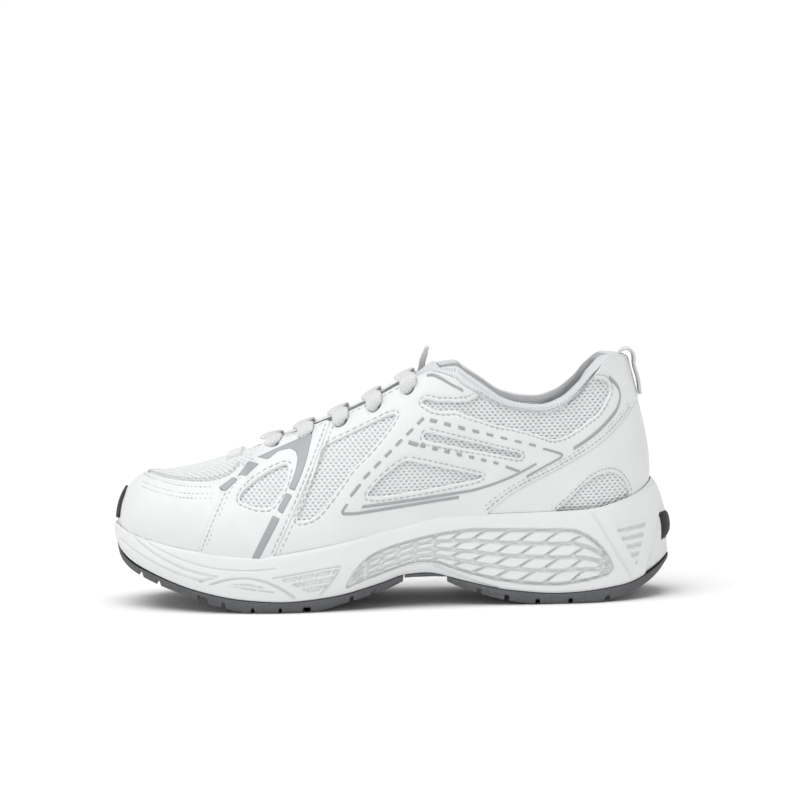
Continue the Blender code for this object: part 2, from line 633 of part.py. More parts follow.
# ---------------------------------------------------------------- lace
def ribbon(name, stops, colour, rough, n=2):
    """A flat cord with soft edges. A stop is (place, width direction, half width, half thickness)."""
    path = smooth([np.concatenate([p, w, [a, b]]) for p, w, a, b in stops], n)
    profile = [(-1, 0), (-0.8, -1), (0.8, -1), (1, 0), (0.8, 1), (-0.8, 1)]
    points = []
    for i, row in enumerate(path):
        run = path[min(i + 1, len(path) - 1)][:3] - path[max(i - 1, 0)][:3]
        run /= np.linalg.norm(run)
        wide = row[3:6] - run * np.dot(row[3:6], run)
        wide /= np.linalg.norm(wide)
        thick = np.cross(run, wide)
        points += [row[:3] + wide * u * row[6] + thick * v * row[7] for u, v in profile]
    m = len(profile)
    faces = [list(range(m)), list(range(len(points) - m, len(points)))]
    for i in range(len(path) - 1):
        for k in range(m):
            a, b = i * m + k, i * m + (k + 1) % m
            faces.append([a, b, b + m, a + m])
    body = solid(name, points, faces, colour, rough)
    finish(body)
    return body


def lace_stops():
    """One lace laced straight: over the tongue at each pair of eyelets, and back under the eyestay."""
    stops = []
    side = -1
    ACROSS = np.array([0.0, 1.0, 0.0])
    for k, x in enumerate(EYELETS_X):
        a, b = throat_frame(x, side), throat_frame(x, -side)
        slope = a[3] * np.array([1, 0, 1])
        slope /= np.linalg.norm(slope)
        top = (a[0] + b[0]) / 2 + slope * LACE_LEAD
        turn = side * ACROSS
        inward = -side * ACROSS
        back = (a[1] - throat_frame(x - 4, side)[1]) / 4
        on = (throat_frame(x + 4, -side)[1] - b[1]) / 4
        if k == 0:
            tuck = a[1] - a[2] * 3.0 + np.array([3.5, -6.0, -3.5])
            stops.append((tuck + np.array([9.0, -6.0, -7.0]), turn, 1.6, 0.8))
            stops.append((tuck, turn, 1.7, 0.8))
            back = -np.array([0.4, -0.8, -0.3])
        stops.append((a[1] - a[2] * LACE_UNDER - back * 2.6, turn, 1.7, 0.7))
        stops.append((a[1] + a[2] * 0.3 - back * 0.2, turn * 0.8 + slope * 0.4, 1.6, 0.8))
        stops.append((a[1] + a[2] * 3.9 + inward * 0.4, slope, 2.4, 0.8))
        stops.append((a[0] + a[2] * 4.2, slope, LACE_W / 2, LACE_T / 2))
        stops.append((top + np.array([0, side * 5.0, 4.0]), slope, LACE_W / 2, LACE_T / 2))
        stops.append((top + np.array([0, -side * 5.0, 4.0]), slope, LACE_W / 2, LACE_T / 2))
        stops.append((b[0] + b[2] * 4.2, slope, LACE_W / 2, LACE_T / 2))
        stops.append((b[1] + b[2] * 3.9 - inward * 0.4, slope, 2.4, 0.8))
        stops.append((b[1] + b[2] * 0.3 + on * 0.2, slope * 0.4 - turn * 0.8, 1.6, 0.8))
        stops.append((b[1] - b[2] * LACE_UNDER + on * 2.6, -turn, 1.7, 0.7))
        if k + 1 < len(EYELETS_X):
            c = throat_frame((x + EYELETS_X[k + 1]) / 2, -side)
            stops.append((c[1] - c[2] * LACE_UNDER, -turn, 1.7, 0.7))
        side = -side
    return stops


stops = lace_stops()
edge, _, out, _ = throat_frame(EYELETS_X[-1] + 4.5, 1)
lace_side = np.array([1.0, 0.0, 0.3])
stops.append((edge - out * 2.6, lace_side, 1.7, 0.7))
stops.append((np.array([12.7, 15.0, 110.2]), lace_side, 1.7, 0.7))
stops.append((np.array([13.3, 9.0, 115.3]), lace_side, 1.7, 0.7))
stops.append((np.array([14.2, 5.5, 118.6]), lace_side, 1.6, 0.7))
ribbon("shoelace", stops, (0.80, 0.80, 0.79, 1), 0.85)


def lace_tip(name, start, end):
    """A stiff sleeve past the end of the lace."""
    start, end = np.array(start, float), np.array(end, float)
    run = (end - start) / np.linalg.norm(end - start)
    wide = np.cross(run, (0.0, 1.0, 0.0))
    wide /= np.linalg.norm(wide)
    thick = np.cross(run, wide)
    points = []
    for f, r in ((0.0, 1.25), (0.85, 1.25), (1.0, 0.8)):
        for k in range(10):
            a = math.tau * k / 10
            points.append(start + (end - start) * f + (wide * math.cos(a) + thick * math.sin(a)) * r)
    faces = [list(range(10)), list(range(20, 30))]
    for i in range(2):
        for k in range(10):
            a, b = i * 10 + k, i * 10 + (k + 1) % 10
            faces.append([a, b, b + 10, a + 10])
    finish(solid(name, points, faces, (0.75, 0.76, 0.77, 1), 0.25))


lace_end = stops[-1][0] - stops[-2][0]
lace_end /= np.linalg.norm(lace_end)
lace_tip("lace_tip_top", stops[-1][0] + lace_end * 0.4, stops[-1][0] + lace_end * 5.4)
lace_end = stops[0][0] - stops[1][0]
lace_end /= np.linalg.norm(lace_end)
lace_tip("lace_tip_front", stops[0][0] + lace_end * 0.4, stops[0][0] + lace_end * 11.0)

# ---------------------------------------------------------------- heel pull tab
# Each stop is a place in side view and the webbing's half width there; inside it lies between skin and padding
TAB = [(last_point(1.0, 0.88, -1) - [1.05, 0, 0], 3.2), (last_point(1.0, 0.95, -1) - [1.1, 0, 0], 3.2),
       ((108.5, 0, 116.4), 3.6), ((109.5, 0, 118.5), 5.0), ((112.6, 0, 119.3), 6.0), ((115.4, 0, 116.6), 6.0),
       (last_point(1.0, 0.93, -1) + [5.0, 0, 0], 6.0), (last_point(1.0, 0.82, -1) + [5.2, 0, 0], 6.0),
       (last_point(1.0, 0.70, -1) + [4.3, 0, 0], 6.0)]
along_y = np.array([0.0, 1.0, 0.0])
ribbon("heel_pull_tab", [(np.array(p, float) * [1, 0, 1], along_y, half, 0.35) for p, half in TAB], WHITE, 0.6)
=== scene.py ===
"""Looks for a left running shoe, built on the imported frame. Lengths are in mm unless said."""
import math
import bpy
import numpy as np
from mathutils import Matrix, Vector
from mathutils.geometry import delaunay_2d_cdt
from mathutils.kdtree import KDTree


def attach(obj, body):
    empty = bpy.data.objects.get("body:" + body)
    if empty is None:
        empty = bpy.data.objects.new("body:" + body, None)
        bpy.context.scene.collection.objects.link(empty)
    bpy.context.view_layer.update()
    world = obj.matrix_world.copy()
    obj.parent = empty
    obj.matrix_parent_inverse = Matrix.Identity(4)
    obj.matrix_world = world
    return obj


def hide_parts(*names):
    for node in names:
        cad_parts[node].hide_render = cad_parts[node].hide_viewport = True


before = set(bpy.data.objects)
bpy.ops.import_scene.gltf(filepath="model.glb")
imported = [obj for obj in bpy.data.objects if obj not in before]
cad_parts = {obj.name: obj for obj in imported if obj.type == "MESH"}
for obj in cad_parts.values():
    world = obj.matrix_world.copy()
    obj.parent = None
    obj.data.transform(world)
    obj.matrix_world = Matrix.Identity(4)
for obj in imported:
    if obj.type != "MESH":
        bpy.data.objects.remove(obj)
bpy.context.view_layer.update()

MM = 0.001
TOE_X, HEEL_X = -131.4, 122.6
CENTRE = np.array([0.0, -0.67, 0.0])
RAKE, RAKE_Z = 0.0454, 34.9
MAIN, TONGUE_BODY, INSOLE_BODY = "upper_and_sole", "tongue", "loose_insole"

# ---------------------------------------------------------------- the last, as in the CAD
KNOTS = {
    "lateral": [(TOE_X, 6), (-127, -9), (-118, -20), (-100, -31.5), (-75, -41), (-50, -44.5), (-25, -43),
                (5, -37.5), (35, -33.5), (65, -32.5), (90, -31.5), (105, -27.5), (116, -19), (HEEL_X, 0)],
    "medial": [(TOE_X, 6), (-127, 20), (-118, 29), (-100, 38.5), (-75, 43), (-50, 40), (-25, 35),
               (5, 30), (35, 28.5), (65, 29.5), (90, 30.5), (105, 27.5), (116, 19), (HEEL_X, 0)],
    "feather_z": [(TOE_X, 40), (-116, 34), (-96, 30), (-63, 27), (-42, 29.5), (9, 40.5), (21, 43), (93, 45),
                  (110, 49), (HEEL_X, 56.5)],
    "centre_y": [(TOE_X, 6), (-112, 4), (-66, 0.5), (-30, 0), (HEEL_X, 0)],
    "top_x": [(TOE_X, -113), (-127, -111.5), (-115, -106), (-100, -96), (-85, -84), (-68, -69), (-55, -54),
              (-40, -37), (-20, -15), (0, 5), (10, 15), (20, 25), (30, 34), (45, 48), (60, 62), (75, 76),
              (90, 90.5), (105, 102), (116, 108), (HEEL_X, 110)],
    "top_y": [(TOE_X, 0), (-100, 0), (-68, 0), (-62, 6), (-55, 9.5), (-40, 13), (-20, 16), (0, 18.5),
              (20, 22), (30, 25.5), (45, 29.5), (60, 31), (75, 30), (90, 25), (105, 16), (116, 8.5),
              (HEEL_X, 0)],
    "top_z": [(TOE_X, 63.5), (-115, 64.2), (-100, 66), (-85, 69.2), (-68, 73.8), (-55, 78.5), (-40, 85),
              (-20, 94.5), (0, 105.5), (10, 110), (17, 112.5), (24, 113), (30, 109.5), (37, 105), (50, 97),
              (60, 94.5), (68, 94), (78, 96.5), (87, 103), (95, 110.5), (105, 116.0), (HEEL_X, 115.2)],
    "bulge": [(TOE_X, 1.6), (-100, 3), (-50, 2.5), (10, 1.5), (105, 1.5), (HEEL_X, 0.6)],
    "low_handle": [(TOE_X, 11), (-100, 15), (-50, 18), (0, 25), (40, 25), (80, 20), (HEEL_X, 20)],
    "top_out": [(TOE_X, 14), (-115, 19), (-95, 24), (-68, 21), (-50, 17), (0, 15), (25, 9), (45, 4),
                (70, 2), (HEEL_X, 5)],
    "top_drop": [(TOE_X, 1), (-68, 1), (-50, 8), (-20, 12), (0, 16), (30, 22), (60, 17), (80, 17),
                 (HEEL_X, 20)],
    "midsole_z": [(TOE_X, 36), (-127.5, 26.5), (-111, 17.5), (-90, 10.5), (-68, 6.5), (-50, 5.5), (-30, 7),
                  (-5, 12.5), (7, 16), (16, 16.5), (34, 12.5), (56, 7.5), (80, 5.5), (107, 8), (HEEL_X, 19.5)],
    "tread_z": [(TOE_X, 32), (-127.5, 22.5), (-116, 15), (-94, 7), (-81, 3), (-64, 0), (-38, 0), (-22, 3.5),
                (-2, 9), (12, 14), (20, 14), (33, 9), (54, 2.5), (72, 0), (98, 0), (112, 4), (HEEL_X, 15)],
    "lip_out": [(TOE_X, 4.2), (-100, 3.6), (60, 3.6), (105, 3.6), (HEEL_X, 4.0)],
    "wall_out": [(TOE_X, 4.6), (-100, 5.4), (-50, 5.2), (10, 5.4), (60, 6), (105, 7), (HEEL_X, 11.5)],
    "sole_gap": [(TOE_X, 1.4), (-124, 1.1), (-110, 0.5), (-95, 0.35), (HEEL_X, 0.35)],
    "tread_in": [(TOE_X, -0.4), (-124, 0), (-112, 1.2), (-100, 2), (HEEL_X, 2)],
    "base_out": [(TOE_X, 2.6), (-115, 3.6), (-100, 4.2), (-50, 4.4), (10, 0.5), (40, 3), (70, 5.5),
                 (105, 7), (HEEL_X, 12.5)],
}


def angle(x):
    mid, half = (TOE_X + HEEL_X) / 2, (HEEL_X - TOE_X) / 2
    return np.arccos(np.clip((mid - np.asarray(x, float)) / half, -1, 1)) / math.pi


def along(t):
    return (TOE_X + HEEL_X) / 2 - (HEEL_X - TOE_X) / 2 * np.cos(math.pi * np.asarray(t, float))


class Profile:
    """A value along the shoe: a monotone curve through its knots."""

    def __init__(self, knots, width):
        x, v = np.array(knots, float).T
        self.t, self.v = angle(x), v
        h = np.diff(self.t)
        d = np.diff(v) / h
        m = np.zeros(len(v))
        for k in range(1, len(v) - 1):
            if d[k - 1] * d[k] > 0:
                w1, w2 = 2 * h[k] + h[k - 1], h[k] + 2 * h[k - 1]
                m[k] = (w1 + w2) / (w1 / d[k - 1] + w2 / d[k])
        if width:
            m[0], m[-1] = d[0], d[-1]
        self.m = m

    def __call__(self, t):
        i = np.clip(np.searchsorted(self.t, t) - 1, 0, len(self.t) - 2)
        h = self.t[i + 1] - self.t[i]
        s = (t - self.t[i]) / h
        low = (1 + 2 * s) * (1 - s) ** 2 * self.v[i] + s * (1 - s) ** 2 * h * self.m[i]
        return low + s * s * (3 - 2 * s) * self.v[i + 1] + s * s * (s - 1) * h * self.m[i + 1]


F = {k: Profile(v, k in ("lateral", "medial", "top_y")) for k, v in KNOTS.items()}


def wrap(a):
    """a runs 0 to 1 from toe to heel on the lateral side and on to 2 back along the medial side;
    negative a is the medial side too. Gives the station t and the side."""
    a = (np.asarray(a, float) + 1) % 2 - 1
    return np.abs(a), np.where(a >= 0, -1.0, 1.0)


def plan(a):
    t, side = wrap(a)
    e = 2e-4
    lo, hi = np.clip(t - e, 0, 1), np.clip(t + e, 0, 1)

    def edge(q):
        return np.where(side < 0, F["lateral"](q), F["medial"](q))
    dx, dy = along(hi) - along(lo), edge(hi) - edge(lo)
    size = np.hypot(dx, dy)
    out = np.stack([dy, -dx], -1) * (-side / size)[..., None]
    return t, side, np.stack([along(t), edge(t)], -1), out


def skin(a, v, d=0.0):
    """Points of the skin at distance d from the last, with the outward directions."""
    a, v = np.broadcast_arrays(np.asarray(a, float), np.asarray(v, float))

    def at(a, v):
        t, side, foot, out = plan(a)
        low = F["feather_z"](t) - 1.5
        x = F["top_x"](t)
        p0 = np.stack([foot[..., 0], foot[..., 1], low], -1)
        b = F["bulge"](t)
        p1 = p0 + np.stack([out[..., 0] * b, out[..., 1] * b, F["low_handle"](t)], -1)
        p3 = np.stack([x, F["centre_y"](angle(x)) + side * F["top_y"](t), F["top_z"](t)], -1)
        w = F["top_out"](t)
        p2 = p3 + np.stack([out[..., 0] * w, out[..., 1] * w, -F["top_drop"](t)], -1)
        v = v[..., None]
        u = 1 - v
        return u ** 3 * p0 + 3 * u * u * v * p1 + 3 * u * v * v * p2 + v ** 3 * p3
    p = at(a, v)
    e = 2e-3
    du = at(a + e, v) - at(a - e, v)
    dv = at(a, v + 4 * e) - at(a, v - 4 * e)
    n = np.cross(du, dv)
    n /= np.linalg.norm(n, axis=-1, keepdims=True) + 1e-12
    return p + n * np.asarray(d, float)[..., None], n


# The side view's (x, z) turned into (a, v) on the lateral side
GRID_A, GRID_V = 500, 120
_ga, _gv = np.meshgrid(np.linspace(0.0, 1.0, GRID_A), np.linspace(0, 1, GRID_V), indexing="ij")
_gp = skin(_ga, _gv, 2.0)[0]
_tree = KDTree(_gp.shape[0] * _gp.shape[1])
for _i, _q in enumerate(_gp.reshape(-1, 3)):
    _tree.insert((_q[0], _q[2], 0.0), _i)
_tree.balance()


def place(points):
    """Side-view points (x, z) as (a, v) on the lateral skin."""
    out = []
    for x, z in points:
        i = _tree.find((x, z, 0.0))[1]
        a, v = _ga.flat[i], _gv.flat[i]
        for _ in range(4):
            p = skin([a, a + 1e-3, a], [v, v, v + 1e-3], 2.0)[0]
            j = (p[1:] - p[0]).T[[0, 2]] / 1e-3
            r = np.array([x - p[0, 0], z - p[0, 2]])
            try:
                s = np.linalg.solve(j, r)
            except np.linalg.LinAlgError:
                break
            s = np.clip(s, -0.02, 0.02)
            a, v = float(np.clip(a + s[0], 0.0, 1.0)), float(np.clip(v + s[1], -0.06, 1.0))
        out.append((a, v))
    return out


def mirror(points, about=0.0):
    return [(2 * about - a, v) for a, v in points][::-1]


def smooth(points, n=4, closed=False):
    """A Catmull-Rom curve, n steps to a span."""
    pts = [np.array(p, float) for p in points]
    if closed:
        pts = [pts[-1], *pts, pts[0], pts[1]]
    else:
        pts = [2 * pts[0] - pts[1], *pts, 2 * pts[-1] - pts[-2]]
    out = []
    for a, b, c, d in zip(pts, pts[1:], pts[2:], pts[3:]):
        for k in range(n):
            s = k / n
            out.append(b + 0.5 * s * (c - a + s * (2 * a - 5 * b + 4 * c - d + s * (3 * (b - c) + d - a))))
    if not closed:
        out.append(pts[-2])
    return out


def soften(points, times=2, closed=True):
    """Corner cutting: the outline keeps its run and its corners come out round."""
    pts = np.array(points, float)
    for _ in range(times):
        nxt = np.roll(pts, -1, axis=0) if closed else pts[1:]
        here = pts if closed else pts[:-1]
        both = np.stack([here * 0.78 + nxt * 0.22, here * 0.22 + nxt * 0.78], 1).reshape(-1, 2)
        pts = both if closed else np.vstack([pts[:1], both, pts[-1:]])
    return pts


SCALE = np.array([390.0, 66.0])      # (a, v) to about mm on the skin


def resample(points, step, closed=True):
    pts = np.array(points, float)
    if closed:
        pts = np.vstack([pts, pts[:1]])
    keep = np.concatenate([[True], np.linalg.norm(np.diff(pts, axis=0), axis=1) > 1e-6])
    pts = pts[keep]
    s = np.concatenate([[0], np.cumsum(np.linalg.norm(np.diff(pts, axis=0), axis=1))])
    n = max(int(round(s[-1] / step)), 4)
    q = np.linspace(0, s[-1], n + 1)
    if closed:
        q = q[:-1]
    return np.stack([np.interp(q, s, pts[:, k]) for k in range(2)], 1)


def inside(points, outline):
    x, y = points[:, 0], points[:, 1]
    hit = np.zeros(len(points), bool)
    px, py = outline[:, 0], outline[:, 1]
    qx, qy = np.roll(px, -1), np.roll(py, -1)
    for ax, ay, bx, by in zip(px, py, qx, qy):
        if ay == by:
            continue
        cross = (ay > y) != (by > y)
        hit ^= cross & (x < (bx - ax) * (y - ay) / (by - ay) + ax)
    return hit


def distance(points, lines, closed=True):
    """Distance from each point to the nearest of the polylines."""
    best = np.full(len(points), 1e9)
    for line in lines:
        a = np.asarray(line, float)
        b = np.roll(a, -1, axis=0) if closed else a[1:]
        a = a if closed else a[:-1]
        for k in range(0, len(a), 40):
            pa, pb = a[k:k + 40], b[k:k + 40]
            ab = pb - pa
            ap = points[:, None, :] - pa[None]
            f = np.clip((ap * ab).sum(-1) / ((ab * ab).sum(-1) + 1e-12), 0, 1)
            q = np.linalg.norm(ap - f[..., None] * ab, axis=-1)
            best = np.minimum(best, q.min(1))
    return best


def triangulate(outline, holes, step, rows=(0.22, 0.55)):
    """Triangles filling an outline, with rows of points close along each edge to round it over."""
    loops = [resample(outline, min(step, 0.9))] + [resample(h, min(step, 0.9)) for h in holes]
    points, edges = [], []
    for loop in loops:
        base = len(points)
        points += [tuple(p) for p in loop]
        edges += [(base + k, base + (k + 1) % len(loop)) for k in range(len(loop))]
    lo, hi = loops[0].min(0), loops[0].max(0)
    nx, ny = int((hi[0] - lo[0]) / step) + 2, int((hi[1] - lo[1]) / (step * 0.866)) + 2
    gx, gy = np.meshgrid(np.arange(nx), np.arange(ny))
    grid = np.stack([lo[0] + (gx + 0.5 * (gy % 2)) * step, lo[1] + gy * step * 0.866], -1).reshape(-1, 2)

    def good(p, clear):
        ok = inside(p, loops[0])
        for hole in loops[1:]:
            ok &= ~inside(p, hole)
        p = p[ok]
        return p[distance(p, loops) > clear]
    extra = [good(grid, max(rows) + step * 0.5 if rows else step * 0.5)]
    for row in rows:
        for loop in loops:
            tangent = np.roll(loop, -1, axis=0) - np.roll(loop, 1, axis=0)
            normal = np.stack([-tangent[:, 1], tangent[:, 0]], 1)
            normal /= np.linalg.norm(normal, axis=1, keepdims=True) + 1e-9
            for sign in (-1, 1):
                extra.append(good(loop + normal * row * sign, row * 0.92))
    coords = [Vector(p) for p in points] + [Vector(p) for p in np.vstack(extra)]
    vs, _, faces, orig, _, _ = delaunay_2d_cdt(coords, edges, [], 0, 1e-5)
    vs = np.array([v[:] for v in vs])
    faces = np.array([f[:] for f in faces if len(f) == 3])
    mid = vs[faces].mean(1)
    ok = inside(mid, loops[0])
    for hole in loops[1:]:
        ok &= ~inside(mid, hole)
    faces = faces[ok]
    a, b, c = vs[faces[:, 0]], vs[faces[:, 1]], vs[faces[:, 2]]
    turn = (b[:, 0] - a[:, 0]) * (c[:, 1] - a[:, 1]) - (b[:, 1] - a[:, 1]) * (c[:, 0] - a[:, 0])
    faces[turn < 0] = faces[turn < 0][:, ::-1]
    used = np.unique(faces)
    back = np.full(len(vs), -1)
    back[used] = np.arange(len(used))
    return vs[used], back[faces], loops


# ---------------------------------------------------------------- mesh building
def new_object(name, points, faces, mat, body=MAIN, attrs=None, smooth_angle=None):
    mesh = bpy.data.meshes.new(name)
    pts = np.array(points, float) - CENTRE
    pts[:, 0] += RAKE * (pts[:, 2] - RAKE_Z)
    pts *= MM
    mesh.from_pydata(pts.tolist(), [], [list(map(int, f)) for f in faces])
    for key, value in (attrs or {}).items():
        value = np.asarray(value, np.float32)
        if value.ndim == 1:
            layer = mesh.attributes.new(key, "FLOAT", "POINT")
            layer.data.foreach_set("value", value)
        else:
            layer = mesh.attributes.new(key, "FLOAT_VECTOR", "POINT")
            layer.data.foreach_set("vector", value.ravel())
    mesh.validate()
    mesh.materials.append(mat)
    mesh.shade_smooth()
    if smooth_angle:
        mesh.set_sharp_from_angle(angle=math.radians(smooth_angle))
    ob = bpy.data.objects.new(name, mesh)
    bpy.context.scene.collection.objects.link(ob)
    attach(ob, body)
    return ob


class Build:
    """Collects several sheets into one mesh."""

    def __init__(self):
        self.points, self.faces, self.attrs, self.count = [], [], {}, 0

    def add(self, points, faces, **attrs):
        points = np.asarray(points, float)
        n = len(points)
        self.points.append(points)
        self.faces += [[int(i) + self.count for i in f] for f in faces]
        for key in set(self.attrs) | set(attrs):
            value = np.asarray(attrs[key], float) if key in attrs else None
            if key not in self.attrs:
                shape = value.shape[1:] if value is not None else ()
                self.attrs[key] = [np.zeros((self.count, *shape))] if self.count else []
            if value is None:
                value = np.zeros((n, *self.attrs[key][0].shape[1:]))
            self.attrs[key].append(value)
        self.count += n

    def make(self, name, mat, body=MAIN, smooth_angle=None):
        attrs = {k: np.concatenate(v) for k, v in self.attrs.items()}
        return new_object(name, np.concatenate(self.points), self.faces, mat, body, attrs, smooth_angle)


def boundary(faces):
    seen = {}
    for f in faces:
        for k in range(3):
            seen[(int(f[k - 1]), int(f[k]))] = 1
    return [(a, b) for a, b in seen if (b, a) not in seen]


def overlay(build, outline, holes=(), top=2.5, foot=0.9, step=1.5, edge=0.65, relief=None, rows=(0.22, 0.55)):
    """A panel on the skin: outline and holes in (a, v), rounded over along its cut edges."""
    out = np.array(outline, float) * SCALE
    cut = [np.array(h, float) * SCALE for h in holes]
    flat, faces, loops = triangulate(out, cut, step, rows)
    near = distance(flat, loops)
    ease = np.clip(near / edge, 0, 1)
    d = top - min(edge * 0.75, top - foot) * (1 - np.sqrt(np.clip(1 - (1 - ease) ** 2, 0, 1)))
    if relief is not None:
        d = d + relief(flat / SCALE, near)
    av = flat / SCALE
    p, n = skin(av[:, 0], av[:, 1], d)
    rim = boundary(faces)
    ids = sorted({i for e in rim for i in e})
    down = {i: len(p) + k for k, i in enumerate(ids)}
    foot_p, _ = skin(av[ids, 0], av[ids, 1], foot)
    faces = [list(f) for f in faces] + [[b, a, down[a], down[b]] for a, b in rim]
    uv = np.stack([flat[:, 0], flat[:, 1], near], 1)
    build.add(np.vstack([p, foot_p]), faces, skin_uv=np.vstack([uv, uv[ids] * [1, 1, 0]]))
    return loops


# ---------------------------------------------------------------- materials
def node_material(name):
    mat = bpy.data.materials.new(name)
    mat.use_nodes = True
    return mat, mat.node_tree, mat.node_tree.nodes["Principled BSDF"]


def link(tree, a, b):
    tree.links.new(a, b)


def math_node(tree, op, a, b=None, c=None):
    node = tree.nodes.new("ShaderNodeMath")
    node.operation = op
    for k, value in enumerate((a, b, c)):
        if value is None:
            continue
        if isinstance(value, (int, float)):
            node.inputs[k].default_value = value
        else:
            link(tree, value, node.inputs[k])
    return node.outputs[0]


def noise(tree, vector, scale, detail=3.0, rough=0.5):
    node = tree.nodes.new("ShaderNodeTexNoise")
    node.inputs["Scale"].default_value = scale
    node.inputs["Detail"].default_value = detail
    node.inputs["Roughness"].default_value = rough
    link(tree, vector, node.inputs["Vector"])
    return node.outputs["Fac"]


def voronoi(tree, vector, scale, feature="F1"):
    node = tree.nodes.new("ShaderNodeTexVoronoi")
    node.feature = feature
    node.inputs["Scale"].default_value = scale
    link(tree, vector, node.inputs["Vector"])
    return node.outputs["Distance"]


def ramp(tree, value, stops):
    node = tree.nodes.new("ShaderNodeValToRGB")
    link(tree, value, node.inputs[0])
    while len(node.color_ramp.elements) < len(stops):
        node.color_ramp.elements.new(0.5)
    for element, (at, colour) in zip(node.color_ramp.elements, stops):
        element.position = at
        element.color = (*colour, 1)
    return node.outputs[0]


def bump(tree, shader, height, strength, distance):
    node = tree.nodes.new("ShaderNodeBump")
    node.inputs["Strength"].default_value = strength
    node.inputs["Distance"].default_value = distance
    link(tree, height, node.inputs["Height"])
    link(tree, node.outputs[0], shader.inputs["Normal"])


def spread(tree, value, low, high):
    node = tree.nodes.new("ShaderNodeMapRange")
    link(tree, value, node.inputs["Value"])
    node.inputs["To Min"].default_value = low
    node.inputs["To Max"].default_value = high
    return node.outputs[0]


def place_vector(tree):
    return tree.nodes.new("ShaderNodeTexCoord").outputs["Object"]


def coated(name, colour, rough=0.42, grain=1.0):
    """Smooth coated synthetic: a fine grain, faint mottling, and scuffing that dulls it here and there."""
    mat, tree, shader = node_material(name)
    at = place_vector(tree)
    mottle = noise(tree, at, 38, 4)
    shade = [c * 0.955 for c in colour]
    link(tree, ramp(tree, mottle, [(0.3, shade), (0.7, colour)]), shader.inputs["Base Color"])
    link(tree, spread(tree, noise(tree, at, 160, 3), rough - 0.07, rough + 0.12), shader.inputs["Roughness"])
    cells = voronoi(tree, at, 1500)
    fine = noise(tree, at, 2600, 2)
    height = math_node(tree, "ADD", math_node(tree, "MULTIPLY", cells, 0.6), math_node(tree, "MULTIPLY", fine, 0.5))
    height = math_node(tree, "ADD", height, math_node(tree, "MULTIPLY", noise(tree, at, 90, 2), 1.6))
    bump(tree, shader, height, 0.22 * grain, 0.00022)
    shader.inputs["Specular IOR Level"].default_value = 0.42
    return mat


def foam(name, colour, rough=0.55):
    """Moulded foam: a silky skin with very fine pits, a slow unevenness, and painted shade darkening its creases."""
    mat, tree, shader = node_material(name)
    at = place_vector(tree)
    shade = [c * 0.965 for c in colour]
    unshaded_foam = ramp(tree, noise(tree, at, 26, 5), [(0.3, shade), (0.7, colour)])
    # painted shade: the crease weight mixes the foam colour toward grey along the carved creases
    painted_crease_shade = tree.nodes.new("ShaderNodeAttribute")
    painted_crease_shade.attribute_name = "painted_crease_shade"
    mix = tree.nodes.new("ShaderNodeMix")
    mix.data_type = "RGBA"
    link(tree, math_node(tree, "MULTIPLY", painted_crease_shade.outputs["Fac"], 0.42), mix.inputs[0])
    link(tree, unshaded_foam, mix.inputs[6])
    mix.inputs[7].default_value = (0.40, 0.405, 0.41, 1)
    link(tree, mix.outputs[2], shader.inputs["Base Color"])
    link(tree, spread(tree, noise(tree, at, 120, 3), rough - 0.06, rough + 0.1), shader.inputs["Roughness"])
    pits = math_node(tree, "ADD", voronoi(tree, at, 2200), math_node(tree, "MULTIPLY", noise(tree, at, 60, 2), 2.0))
    bump(tree, shader, pits, 0.18, 0.0002)
    shader.inputs["Subsurface Weight"].default_value = 0.08
    shader.inputs["Subsurface Radius"].default_value = (0.003, 0.003, 0.003)
    return mat


def rubber(name, colour, rough=0.7):
    """Moulded rubber: dull, finely speckled, with dust in its grain."""
    mat, tree, shader = node_material(name)
    at = place_vector(tree)
    dust_and_shade = [min(c * 1.35 + 0.02, 1) for c in colour]
    both = math_node(tree, "MULTIPLY", noise(tree, at, 30, 6, 0.65), noise(tree, at, 900, 2))
    link(tree, ramp(tree, both, [(0.12, colour), (0.5, dust_and_shade)]), shader.inputs["Base Color"])
    link(tree, spread(tree, noise(tree, at, 200, 3), rough - 0.08, rough + 0.15), shader.inputs["Roughness"])
    bump(tree, shader, math_node(tree, "ADD", noise(tree, at, 1800, 3), voronoi(tree, at, 1100)), 0.3, 0.0002)
    return mat


def textile(name, colour, deep, pitch=(1.5, 1.1), rough=0.85, strength=0.7, attr="skin_uv", sheen=0.25):
    """A knit: rounded loops set in brick order, with painted shade darkening the pores and gaps between them. pitch is
    in mm.
    """
    mat, tree, shader = node_material(name)
    uv = tree.nodes.new("ShaderNodeAttribute")
    uv.attribute_name = attr
    split = tree.nodes.new("ShaderNodeSeparateXYZ")
    link(tree, uv.outputs["Vector"], split.inputs[0])
    row = math_node(tree, "DIVIDE", split.outputs[1], pitch[1])
    odd = math_node(tree, "MULTIPLY", math_node(tree, "FLOORED_MODULO", math_node(tree, "FLOOR", row), 2.0), 0.5)
    col = math_node(tree, "ADD", math_node(tree, "DIVIDE", split.outputs[0], pitch[0]), odd)
    fx = math_node(tree, "SUBTRACT", math_node(tree, "FRACT", col), 0.5)
    fy = math_node(tree, "SUBTRACT", math_node(tree, "FRACT", row), 0.5)
    r2 = math_node(tree, "ADD", math_node(tree, "MULTIPLY", fx, fx), math_node(tree, "MULTIPLY", fy, fy))
    hole = math_node(tree, "SQRT", r2)
    at = place_vector(tree)
    wobble = math_node(tree, "MULTIPLY", noise(tree, at, 900, 2), 0.12)
    pore = math_node(tree, "ADD", hole, wobble)
    # painted shade: the colour goes to deep in the pores and the gaps between the loops
    link(tree, ramp(tree, pore, [(0.16, deep), (0.36, colour)]), shader.inputs["Base Color"])
    shader.inputs["Roughness"].default_value = rough
    shader.inputs["Sheen Weight"].default_value = sheen
    fuzz = math_node(tree, "MULTIPLY", noise(tree, at, 2600, 2), 0.3)
    threads = math_node(tree, "ADD", math_node(tree, "MULTIPLY", pore, 1.6), fuzz)
    bump(tree, shader, threads, strength, 0.0005)
    return mat


